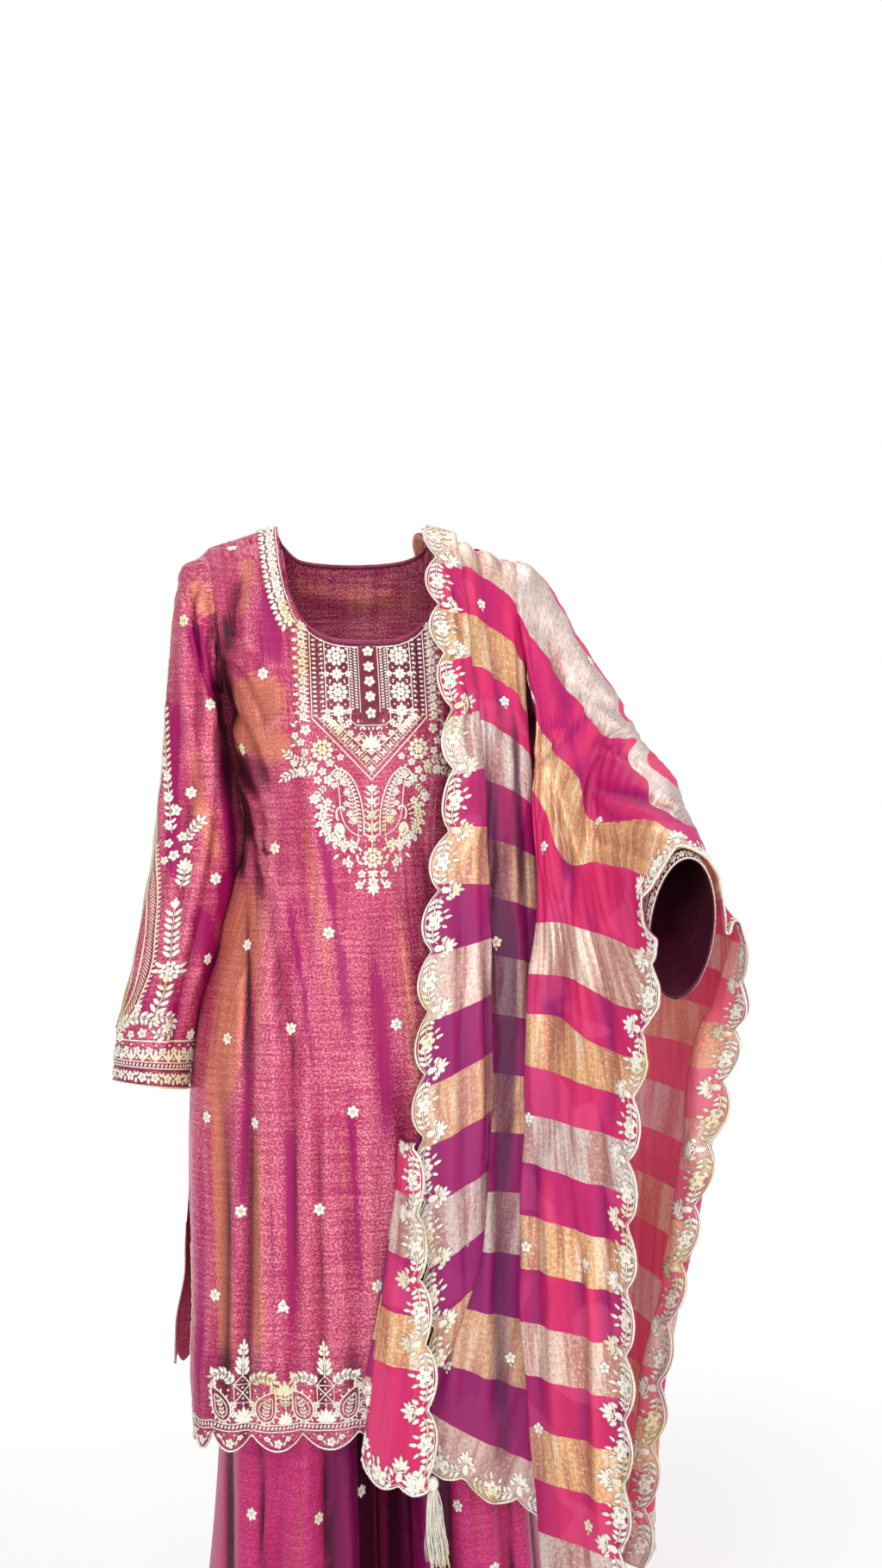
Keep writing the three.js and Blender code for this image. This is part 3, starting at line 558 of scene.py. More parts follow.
# The same columns, with how strongly the metal thread (above 0) or bare silk shows: painted copper sheen
# along the pleats, and painted violet shade down the inner leg.
LEG_TONES = [
    (-44, -920, -46, -1450, 0, 18, -1.9), (-160, -930, -166, -1450, 2, 8, 0.3),
    (-120, -930, -124, -1450, 2, 12, 0.1), (-66, -930, -68, -1450, 0, 2.5, 1.2),
    (-96, -930, -99, -1450, 2, 3, 0.5), (-136, -930, -141, -1450, 2, 3, 0.5),
]
# Shade painted into the pleats' troughs and the gap between the legs, in the same columns.
LEG_PAINTED_SHADE = [
    (-44, -920, -46, -1450, 0, 19, 0.35), (-14, -920, -12, -1450, 0, 9, 1.0),
    (-166, -930, -177, -1450, 2, 4, 0.7), (-132, -930, -137, -1450, -2, 3, 0.45),
    (-92, -940, -92, -1450, -2, 2.5, 0.4),
]


def leg_cloth(hand, face, wide, tall, seed):
    """u runs from the outer side to the inner one, and v from the hem up."""
    u, v = grid(wide, tall)
    z = mix(SHARARA_HEM, LEG["top"], v)
    outer = read(LEGS, "outer", "z", z)
    split = clamp(read(LEGS, "split", "z", z), 0, 1)
    gap = SEAM / 2 + LEG["apart"] * split
    middle = split * (outer + gap) / 2
    reach = outer - middle
    turn = u * np.arccos(clamp((gap - middle) / reach, -1, 1))
    deep = read(LEGS, "front" if face < 0 else "back", "z", z)
    wave = turn * 2 * LEG["pleats"]
    lean = np.sin(wave + 0.55 * np.sin(wave + 1.0 + hand)) + 0.25 * np.sin(wave * 1.7 + seed)
    pleat = read(LEGS, "pleat", "z", z) * lean * np.sin(turn) ** 2 * 0.95
    cloth = Cloth(stack(
        hand * (middle + (reach + pleat * 0.3) * np.cos(turn)),
        face * (SEAM / 2 + (deep + pleat) * np.sin(turn)),
        z,
    ), hand * face)
    free = np.sin(turn) ** 2
    upright = ripples(cloth.across, z, seed, 22, 300)
    patch = smooth(ripples(cloth.across, z, seed + 2, 60, 70), 0.3, 1.4)
    level = ripples(cloth.across, z, seed + 1, 26, 9) * patch
    cloth.lift((0.8 * (1 - np.abs(upright)) + 0.5 * level) * free)
    cloth.fold += pleat * 0.6
    x, z = cloth.points[..., 0] * -hand, cloth.points[..., 2]
    cloth.lift(creases(x, z, LEG_CREASES))
    cloth.tone = creases(x, z, LEG_TONES)
    cloth.deep = creases(x, z, LEG_PAINTED_SHADE)
    return cloth


HANDS = {"right": -1, "left": 1}
FACES = {"front": -1, "back": 1}
legs = {(hand_name, face_name): leg_cloth(hand, face, wide=54, tall=150, seed=31 + 2 * hand + face)
        for hand_name, hand in HANDS.items() for face_name, face in FACES.items()}

BAND = {"foot": -470 + SEAM, "top": -430, "half": 157, "taper": 0.22, "front": 115, "back": 93.7}


def band_cloth(face):
    u, v = grid(wide=90, tall=10)
    turn = mix(-pi / 2, pi / 2, u)
    z = mix(BAND["foot"], BAND["top"], v)
    inward = (z - BAND["foot"]) * BAND["taper"]
    deep = BAND["front"] if face < 0 else BAND["back"]
    gather = 0.5 * np.sin(turn * 50 + np.sin(turn * 17) * 2)
    return Cloth(stack(
        (BAND["half"] - inward) * np.sin(turn),
        face * (SEAM / 2 + (deep - inward * 0.6 + gather) * np.cos(turn)),
        z,
    ), -face)


waistband = {face_name: band_cloth(face) for face_name, face in FACES.items()}

# ---- Dupatta -----------------------------------------------------------------------------------------
# Each stretch lies on three lines that run down it: left, middle and right.

LINES = "lx ly lz mx my mz rx ry rz"
SHOULDER_PLEAT = table(LINES, [
    (80, 0, 4, 96, 0, 1, 112, 0, -4), (79, -26, 3, 95, -26, 1, 112, -26, -4),
    (77, -48, -14, 95, -48, -17, 112, -49, -22), (75, -67, -45, 94, -67, -48, 112, -68, -53),
    (72, -92, -92, 92, -92, -95, 111, -91, -99), (73, -122, -153, 92, -122, -150, 111, -119, -145),
    (78, -137, -219, 97, -137, -212, 115, -133, -206), (78, -139, -300, 100, -140, -295, 121, -135, -290),
    (62, -141, -376, 92, -143, -376, 121, -139, -378), (48, -150, -466, 85, -153, -456, 121, -147, -446),
    (40, -160, -555, 80, -163, -538, 118, -156, -520), (33, -168, -642, 75, -171, -620, 117, -164, -597),
    (32, -175, -729, 72, -178, -712, 110, -170, -692), (36, -180, -820, 68, -183, -800, 100, -176, -778),
    (42, -183, -900, 52, -184, -897, 61, -180, -893),
])
TURNED_FLAP = table(LINES, [
    (16, -157, -664, 25, -181, -662, 34, -187, -660), (8, -158.8, -739, 21, -190, -737, 34, -192, -735),
    (-5, -163.9, -820, 16, -195, -818, 37, -197, -816), (-18, -166.6, -900, 13, -198, -900, 42, -200, -900),
    (-31, -169.3, -996, 5, -200, -1012, 40, -200, -1004),
])
INNER_LAYER = table(LINES, [
    (96, 0, -2.4, 148, 0, -19.6, 192, 0, -36), (96, -22, -5, 147, -22, -24, 192, -22, -44),
    (96, -41, -21, 148, -41, -38, 192, -42, -64), (95, -58, -49, 147, -58, -64, 188, -60, -100),
    (95, -82, -99, 146, -76, -110, 183, -72, -146), (95, -108, -160, 143, -100, -165, 179, -84, -200),
    (95, -127, -230, 140, -124, -235, 180, -102, -262), (92, -129, -310, 138, -130, -315, 178, -113, -330),
    (86, -131, -400, 135, -134, -402, 179, -121, -410), (80, -140, -510, 132, -144, -512, 180, -131, -515),
    (54, -149, -620, 118, -153, -620, 177, -141, -620), (10, -157, -730, 100, -162, -730, 174, -150, -730),
    (-8, -163, -830, 84, -168, -838, 172, -158, -845), (-24, -166, -900, 74, -171, -940, 170, -163, -970),
    (-32, -168, -940, 68, -173, -1022, 168, -167, -1068),
])
BACK_FALL = table(LINES, [
    (80, 1, 4, 140, 1, -16.5, 192, 1, -36), (79, 28, 4, 140, 28, -20, 192, 29, -46),
    (78, 52, -12, 140, 50, -37, 191, 50, -74), (76, 74, -48, 140, 66, -68, 189, 58, -112),
    (78, 92, -110, 144, 84, -128, 189, 63, -165), (80, 99, -190, 154, 92, -200, 226, 76, -240),
    (82, 92, -290, 166, 98, -300, 254, 85, -330), (84, 98, -400, 168, 106, -405, 257, 93, -420),
    (85, 118, -500, 168, 122, -500, 253, 99, -510), (85, 134, -610, 166, 138, -610, 246, 107, -615),
    (85, 139, -760, 164, 148, -760, 240, 121, -765), (85, 142, -920, 162, 152, -920, 234, 132, -925),
    (85, 145, -1110, 160, 156, -1110, 228, 141, -1110),
])
# The shares of the sleeve's length that the veil covers, the turns round it at the cover's two edges, how
# far it stands off the sleeve, and how much further round it bends as it leaves it.
COVER = {"from": 0.09, "to": 1.005, "front": -1.05, "back": 1.3, "clear": 9, "bend": 0.5}
FALL = "t lx ly lz mx my mz rx ry rz"
FRONT_FALL = table(FALL, [
    (0.1, 190, -98, -200, 214, -170, -370, 252, -308, -445),
    (0.22, 176, -116, -300, 206, -200, -440, 254, -308, -490),
    (0.34, 172, -148, -410, 200, -224, -520, 240, -306, -560),
    (0.46, 157, -170, -520, 192, -232, -615, 231, -300, -650),
    (0.6, 142, -186, -680, 184, -230, -740, 228, -292, -770),
    (0.75, 134, -194, -830, 178, -232, -880, 226, -284, -900),
    (0.88, 142, -198, -985, 180, -236, -1010, 220, -281, -1020),
    (1, 153, -200, -1150, 182, -238, -1150, 211, -280, -1150),
])
OUTER_FALL = table(FALL, [
    (0.1, 338, -304, -430, 366, -90, -400, 268, 84, -270),
    (0.22, 344, -298, -520, 370, -85, -480, 266, 92, -350),
    (0.34, 338, -288, -600, 366, -82, -570, 262, 100, -450),
    (0.46, 316, -276, -680, 352, -100, -660, 252, 104, -560),
    (0.6, 296, -260, -780, 334, -96, -770, 246, 118, -700),
    (0.75, 272, -252, -890, 312, -92, -880, 240, 130, -850),
    (0.88, 258, -250, -1000, 296, -90, -1000, 236, 138, -990),
    (1, 249, -248, -1110, 286, -88, -1110, 232, 144, -1110),
])


def on_lines(rows, u, v):
    """Points on the curve through the left, middle and right lines."""
    left, middle, right = (stack(*[read(rows, line + axis, "t", v) for axis in "xyz"]) for line in "lmr")
    u = u[..., None]
    return left * (1 - u) * (1 - 2 * u) + middle * 4 * u * (1 - u) + right * u * (2 * u - 1)


def stretch(rows, wide, tall):
    """A stretch of the veil with its rows evenly spaced along its middle line."""
    rows["t"] = np.linspace(0, 1, len(rows["lx"]))
    fine = np.linspace(0, 1, 600)
    line = on_lines(rows, np.full(600, 0.5), fine)
    length = np.pad(np.cumsum(np.linalg.norm(np.diff(line, axis=0), axis=1)), (1, 0))
    evenly = np.interp(np.linspace(0, length[-1], tall + 1), length, fine)
    u, v = np.meshgrid(np.linspace(0, 1, wide + 1), evenly)
    return on_lines(rows, u, v)


def fall(rows, edge_turn, along, v):
    """A stretch that bends off the sleeve and hangs: `along` is the share of the cover's length at its
    upper edge, and v runs down it."""
    first = rows["t"][0]
    outward = np.sign(edge_turn)
    share = along if outward < 0 else 1 - along
    reach = mix(COVER["from"], COVER["to"], along)
    turn = np.full(along.shape, edge_turn + outward * SEAM / 40)
    edge = left_sleeve(turn, reach, COVER["clear"])
    bend = left_sleeve(turn + outward * COVER["bend"], reach, 2 * COVER["clear"])
    knee = on_lines(rows, share, np.full(along.shape, first))
    t = clamp(v / first, 0, 1)[..., None]
    upper = edge * (1 - t) ** 2 + bend * 2 * t * (1 - t) + knee * t * t
    return np.where((v < first)[..., None], upper, on_lines(rows, share, np.maximum(v, first)))


def scalloped(cloth, edge, pitch, start, out=5.0, back=10.0, reach=46.0, deep=1.0):
    """Moves the cloth's edge in and out in scallops. edge is left, right or last (row), and deep is the
    size of the embroidery on it."""
    cloth.cuts.append((edge, pitch, start, deep))
    p = cloth.points
    lines = {"left": p[:, ::-1].swapaxes(0, 1), "right": p.swapaxes(0, 1), "last": p}[edge]
    outward = unit(lines[-1] - lines[-6])
    along = np.pad(np.cumsum(np.linalg.norm(np.diff(lines[-1], axis=0), axis=1)), (1, 0))
    offset = (out + back) * np.abs(np.sin(pi * (along - start) / pitch)) ** 0.75 - back
    away = np.cumsum(np.linalg.norm(np.diff(lines[::-1], axis=0), axis=2), axis=0)[::-1]
    away = np.concatenate([away, np.zeros((1, lines.shape[1]))])
    share = clamp(1 - away / reach, 0, 1)
    lines += (share * offset)[..., None] * outward
    cloth.normals = cloth.faces()


def folded_under(points, side, radius, columns):
    """The grid with its right edge turned under itself, that many columns deep, as a wider sheet's fold."""
    normals = Cloth(points, side).normals
    outward = unit(points[:, -1] - points[:, -4])
    extra = []
    for angle in np.linspace(0, pi, 7)[1:]:
        round_edge = points[:, -1] + outward * radius * sin(angle)
        extra.append(round_edge - normals[:, -1] * radius * (1 - cos(angle)))
    for column in range(-2, -2 - columns, -1):
        extra.append(points[:, column] - normals[:, column] * 2 * radius)
    return np.concatenate([points, np.stack(extra, 1)], axis=1)


def down_from(cloth, start, lean):
    """Stripe places down a stretch: the length from its first row, less where the stripes lean."""
    middle = cloth.points.shape[1] // 2
    sideways = cloth.across - cloth.across[:, middle][:, None]
    return start + cloth.down[:, middle][:, None] - lean * sideways


def veil_rumple(cloth, rows, seed, fine, across=24, along=210):
    """The listed creases, then soft folds and fine crinkles."""
    x, z = cloth.points[..., 0], cloth.points[..., 2]
    cloth.lift(creases(x, z, rows))
    soft = ripples(cloth.across, cloth.down, seed, across, along)
    small = ripples(cloth.across, cloth.down, seed + 1, 9, 60)
    cloth.lift(fine * soft + 0.22 * fine * small, 0.6)


# x, z of each end, bow, half width, height.
PLEAT_CREASES = [
    (92, -60, 96, -260, 3, 5, 3), (102, -40, 108, -300, -3, 4, -3), (84, -90, 88, -330, 2, 4, -2.5),
    (106, -300, 100, -700, 3, 5, 3), (92, -360, 84, -820, -4, 5, -3), (72, -420, 62, -820, 4, 6, 2.5),
    (112, -420, 106, -760, 2, 4, -2.5), (52, -520, 48, -860, 2, 5, -2),
]
FLAP_CREASES = [
    (18, -680, 6, -980, 3, 4, -2), (28, -700, 24, -990, -2, 4, 2), (8, -760, -8, -985, 2, 4, 2),
]
INNER_CREASES = [
    (122, -20, 120, -260, 4, 7, 4), (140, -30, 150, -250, -4, 6, -4), (160, -60, 166, -330, 3, 6, 3.5),
    (132, -260, 128, -560, -4, 7, -5), (152, -300, 146, -700, 4, 7, 5), (166, -330, 160, -900, 3, 6, -5),
    (112, -420, 96, -1000, 6, 8, 5), (130, -560, 118, -1040, -5, 8, -5), (80, -640, 58, -1000, 5, 9, 4),
    (40, -720, 20, -1000, 4, 9, -4), (148, -700, 144, -1050, 4, 8, 5),
]
BACK_FALL_CREASES = [
    (104, -40, 106, -380, 5, 8, -5), (128, -30, 132, -460, -5, 9, 6), (154, -60, 160, -520, 5, 8, -6),
    (180, -120, 196, -600, -4, 9, 5), (214, -200, 222, -640, 4, 8, -5), (112, -400, 110, -1090, -5, 10, 6),
    (136, -440, 134, -1080, 5, 8, -6), (160, -500, 156, -1090, -4, 9, 6), (184, -560, 180, -1080, 4, 8, -6),
    (208, -620, 204, -1090, -4, 8, 5),
]
EDGE_PITCH = 65.0
PLEAT_CUSP = 147               # from the shoulder to the third cusp of its edge

pleat = Cloth(folded_under(stretch(SHOULDER_PLEAT, wide=20, tall=250), -1, radius=1.8, columns=6), -1)
pleat.stripe = down_from(pleat, start=0, lean=0.05)
veil_rumple(pleat, PLEAT_CREASES, seed=41, fine=0.5, across=16, along=150)
# Painted shade down the pleat's right side and in its troughs.
pleat.deep = creases(pleat.points[..., 0], pleat.points[..., 2], [
    (112, -80, 118, -420, 0, 9, 0.5), (118, -420, 104, -880, 0, 12, 0.6), (96, -60, 100, -330, 2, 4, 0.3),
    (90, -380, 78, -860, -2, 3, 0.25),
])
# Painted dusky shade on the pleat, more of it lower down.
pleat.tone = -0.85 * smooth(-pleat.points[..., 2], 180, 480)
scalloped(pleat, "left", EDGE_PITCH, start=PLEAT_CUSP - 2 * EDGE_PITCH)

flap = Cloth(stretch(TURNED_FLAP, wide=26, tall=92), -1)
pleat_at = np.interp(-flap.points[..., 2], -pleat.points[:, 10, 2], pleat.stripe[:, 10])
flap.stripe = pleat_at - 0.08 * (flap.points[..., 0] - 34)
veil_rumple(flap, FLAP_CREASES, seed=43, fine=0.5, across=15, along=120)
scalloped(flap, "right", 66, start=5, out=4, back=9, reach=30, deep=0.9)
scalloped(flap, "last", 49, start=0, back=7, reach=30, deep=0.8)

inner = Cloth(stretch(INNER_LAYER, wide=44, tall=240), -1)
inner.stripe = down_from(inner, start=14, lean=0.16)
veil_rumple(inner, INNER_CREASES, seed=45, fine=0.7)
# Painted shade in the valley between the pleat and the fall.
inner.deep = creases(inner.points[..., 0], inner.points[..., 2], [
    (136, -190, 136, -330, 0, 22, 0.35), (138, -300, 134, -620, 0, 24, 0.8),
    (130, -600, 120, -1060, 0, 20, 0.55), (160, -200, 158, -420, 0, 7, 0.9),
    (152, -420, 132, -700, 0, 9, 0.7), (124, -160, 124, -420, 0, 4, 0.6),
])
# Painted dusky shade on the inner layer, more of it lower down.
inner.tone = -0.95 * smooth(-inner.points[..., 2], 220, 480)
scalloped(inner, "last", EDGE_PITCH, start=10)

back_fall = Cloth(stretch(BACK_FALL, wide=50, tall=240), 1)
back_fall.stripe = -down_from(back_fall, start=4, lean=0.05)
veil_rumple(back_fall, BACK_FALL_CREASES, seed=47, fine=0.8)
scalloped(back_fall, "left", EDGE_PITCH, start=10)
scalloped(back_fall, "last", EDGE_PITCH, start=20)

# Places on the arm and the front fall where a stripe starts, seen from the front.
STRIPE_PLACES = table("x z edge", [
    (201, -42, 3), (224, -88, 3), (241, -137, 3), (266, -171, 3), (284, -200, 3), (304, -232, 3),
    (302, -285, 3), (188, -131, 4), (211, -157, 4), (230, -190, 4), (246, -207, 4), (262, -237, 4),
    (309, -257, 4), (295, -292, 4), (282, -321, 4), (302, -338, 4), (186, -224, 5), (204, -262, 5),
    (230, -290, 5), (238, -337, 5), (256, -337, 5), (277, -335, 5), (292, -352, 5), (178, -305, 6),
    (191, -335, 6), (207, -380, 6), (227, -378, 6), (250, -386, 6), (168, -446, 7), (184, -440, 7),
    (206, -444, 7), (228, -453, 7), (241, -463, 7), (158, -497, 8), (197, -497, 8), (222, -515, 8),
    (232, -84, 2.6), (264, -142, 2.5), (299, -205, 2.5), (319, -271, 2.6), (328, -322, 3.4), (150, -538, 9),
    (179, -536, 9), (213, -561, 9), (144, -638, 11), (200, -645, 11), (138, -688, 12), (202, -698, 12),
    (140, -890, 15.7), (215, -890, 15.7), (155, -1090, 19.4), (215, -1090, 19.5), (310, -494, 8),
    (305, -595, 10), (290, -700, 12), (275, -890, 15.7), (262, -1090, 19.4), (332, -400, 5.6),
])


def stripe_field(rows):
    """A smooth field through the stripes' places: thin plates over x and z."""
    spot = np.stack([rows["x"], rows["z"]], 1) / 100
    count = len(spot)

    def plate(p, q):
        r2 = ((p[:, None] - q[None]) ** 2).sum(2)
        return r2 * np.log(r2 + 1e-9) / 2

    def flat(p):
        return np.pad(p, ((0, 0), (1, 0)), constant_values=1)

    system = np.zeros((count + 3, count + 3))
    system[:count, :count] = plate(spot, spot) + np.eye(count) * 0.004
    system[:count, count:] = flat(spot)
    system[count:, :count] = flat(spot).T
    weights = np.linalg.solve(system, np.append(rows["edge"], [0, 0, 0]))

    def field(x, z):
        p = np.stack([x.ravel(), z.ravel()], 1) / 100
        value = plate(p, spot) @ weights[:count] + flat(p) @ weights[count:]
        return FIRST_STRIPE + STRIPE * value.reshape(x.shape)

    return field


def arm_drape(rows, front_columns, cover_columns, outer_columns):
    """One sheet. Its columns run up the front fall, round the arm and down the outer fall, and its rows
    from the shoulder to the wrist."""
    along = np.linspace(0, 1, rows + 1)
    hang, q = np.meshgrid(np.linspace(1, 0, front_columns, endpoint=False), along)
    front_part = fall(FRONT_FALL, COVER["front"], q, hang)
    round_arm, q = np.meshgrid(np.linspace(0, 1, cover_columns + 1), along)
    turn = mix(COVER["front"], COVER["back"], round_arm)
    cover_part = left_sleeve(turn, mix(COVER["from"], COVER["to"], q), COVER["clear"])
    hang, q = np.meshgrid(np.linspace(0, 1, outer_columns + 1)[1:], along)
    outer_part = fall(OUTER_FALL, COVER["back"], q, hang)
    return np.concatenate([front_part, cover_part, outer_part], axis=1)


# The grid's last rows, those of them that dip, its first column, its first column with embroidery, and how
# far the cloth turns inward and then outward.
RUFFLE = {"rows": 24, "dip": 14, "first": 203, "worked": 216,
          "inward": radians(-76), "outward": radians(80)}


def ruffled(points, first):
    """The wrist's edge of the outer fall dips inward and then turns out, to face forward."""
    points = points.copy()
    steps = np.diff(points[-RUFFLE["rows"] - 1:], axis=0)
    number = np.arange(RUFFLE["rows"])[:, None]
    turn = RUFFLE["inward"] * np.sin(pi * clamp(number / RUFFLE["dip"], 0, 1))
    turn = turn + RUFFLE["outward"] * smooth(number, RUFFLE["dip"] - 2, RUFFLE["dip"] + 3)
    turn = turn * smooth(np.arange(points.shape[1]), first, first + 34)[None]
    x, y = steps[..., 0].copy(), steps[..., 1].copy()
    steps[..., 0] = x * np.cos(turn) - y * np.sin(turn)
    steps[..., 1] = x * np.sin(turn) + y * np.cos(turn)
    points[-RUFFLE["rows"]:] = points[-RUFFLE["rows"] - 1] + np.cumsum(steps, axis=0)
    return points


# x, z of each end, bow, half width, height: the elbow's crease and the folds that run from it.
ARM_CREASES = [
    (196, -40, 306, -236, 0, 30, 13), (300, -220, 330, -316, 0, 24, 11), (205, -60, 250, -150, 5, 5, -3.5),
    (212, -150, 270, -214, -5, 5, -4), (236, -196, 300, -300, 5, 4, -4), (250, -250, 300, -262, 4, 4, -3),
    (244, -262, 304, -284, 4, 4, 3), (226, -250, 258, -340, -5, 4, -3.5),
    (262, -300, 310, -330, 3, 3.5, -3), (240, -345, 284, -352, 4, 4, 3), (186, -240, 232, -232, 6, 5, -4),
    (188, -258, 236, -246, 6, 4, 3), (206, -330, 196, -440, 3, 4, -3), (226, -360, 222, -470, 2, 4, 3),
    (178, -272, 262, -198, -8, 4.5, -7), (184, -262, 266, -188, -8, 7, 5),
    (196, -290, 268, -222, -6, 6, 3.5), (262, -196, 312, -226, -6, 4, -3.5),
    (258, -186, 306, -212, -5, 4, 3), (256, -206, 304, -240, -5, 4, 3), (266, -218, 308, -258, -4, 4, -3),
    (190, -130, 205, -260, 6, 9, 4), (206, -110, 228, -230, 5, 9, -4), (222, -100, 258, -180, -5, 8, 4),
    (240, -100, 280, -190, -4, 6, -3), (176, -180, 180, -300, -3, 5, -4), (190, -290, 200, -400, 4, 5, -5),
    (206, -290, 216, -380, -3, 5, 4), (198, -300, 186, -420, -3, 5, 3), (216, -290, 262, -330, 6, 6, 3.5),
    (230, -300, 286, -318, 6, 5, -4), (236, -318, 288, -340, 5, 5, 3), (222, -352, 262, -372, 4, 5, -3),
    (196, -345, 240, -372, 5, 6, 4), (188, -420, 176, -560, 3, 6, -4), (205, -420, 203, -620, -2, 5, 4),
    (212, -430, 214, -640, 3, 5, -4), (160, -440, 152, -640, 3, 7, 4), (176, -460, 170, -700, -3, 7, -3),
    (192, -500, 190, -760, 2, 6, 3), (206, -600, 208, -900, -2, 5, -5), (150, -640, 146, -980, 3, 6, -4),
    (166, -660, 164, -1000, -3, 7, 4), (184, -720, 184, -1080, 3, 6, -4), (198, -740, 200, -1080, -2, 5, 4),
    (214, -760, 214, -1080, 2, 5, -4), (300, -480, 282, -1040, 5, 7, -6), (318, -470, 290, -900, -5, 7, 6),
    (332, -440, 310, -760, 4, 7, -6), (284, -600, 268, -1060, 4, 6, 6), (346, -420, 330, -640, -4, 7, 5),
]

drape_points = arm_drape(rows=90, front_columns=150, cover_columns=40, outer_columns=140)
for _ in range(3):
    drape_points[:, 1:-1] = (drape_points[:, :-2] + 2 * drape_points[:, 1:-1] + drape_points[:, 2:]) / 4
drape_points = ruffled(drape_points, RUFFLE["first"])
# Its upper edge, on the shoulder, is its first row.
drape_points = folded_under(drape_points[::-1].swapaxes(0, 1), -1, radius=3, columns=3)
drape_points = drape_points.swapaxes(0, 1)[::-1]
drape = Cloth(drape_points, -1)
drape.relax(12)
field = stripe_field(STRIPE_PLACES)
drape_x, drape_y, drape_z = np.moveaxis(drape.points, 2, 0)
# Behind the arm the stripes lie lower, so that fewer of them close into ovals.
behind_arm = smooth(drape_y + 64 * smooth(-drape_z, 60, 500), -20, 110) * (1 - smooth(-drape_z, 330, 640))
drape.stripe = field(drape_x, drape_z) - 1.4 * STRIPE * behind_arm
drape.warp = drape.down
# The fall behind the wrist is painted paler on its wrong side as if lit through, and the front fall gets
# painted dusky shade where it meets the pleat.
drape.tone = smooth(drape_x, 212, 268) * smooth(-drape_z, 250, 380) - 0.5 * smooth(-drape_x, -180, -150)
veil_rumple(drape, ARM_CREASES, seed=51, fine=0.42, across=120, along=34)
scalloped(drape, "last", EDGE_PITCH, start=30, out=4, back=10, reach=40)
for side_edge in ("left", "right"):
    scalloped(drape, side_edge, EDGE_PITCH, start=10, out=4, back=8, reach=40)

RELIEF = 1.6                   # how thick the stitches are to their drawn height


class Stitches:
    """Raised stitching, drawn flat in millimetres with its height above the cloth."""

    def __init__(self):
        self.flat, self.high, self.faces, self.count = [], [], [], 0

    def put(self, flat, high, faces):
        self.flat.append(flat)
        self.high.append(high)
        self.faces.append(np.asarray(faces) + self.count)
        self.count += len(flat)

    def laid(self, cloth, chart, lift=0.25):
        """The stitches' points on the cloth: chart turns flat places into the cloth's (u, v)."""
        flat = np.concatenate(self.flat)
        high = np.concatenate(self.high)
        points, normals = cloth.at(*chart(flat))
        return points + normals * (high * RELIEF + lift)[:, None], normals, high, np.concatenate(self.faces)


LEAF = np.array([(0, 0), (1, 0), (0.3, 0.5), (0.72, 0.42), (0.3, -0.5), (0.72, -0.42), (0.34, 0),
                 (0.72, 0)])
LEAF_HIGH = np.array([0.15, 0.1, 0.1, 0.1, 0.1, 0.1, 1.0, 0.8])
LEAF_FACES = [(0, 6, 2), (2, 6, 7), (2, 7, 3), (3, 7, 1), (0, 4, 6), (4, 5, 7), (4, 7, 6), (5, 1, 7)]


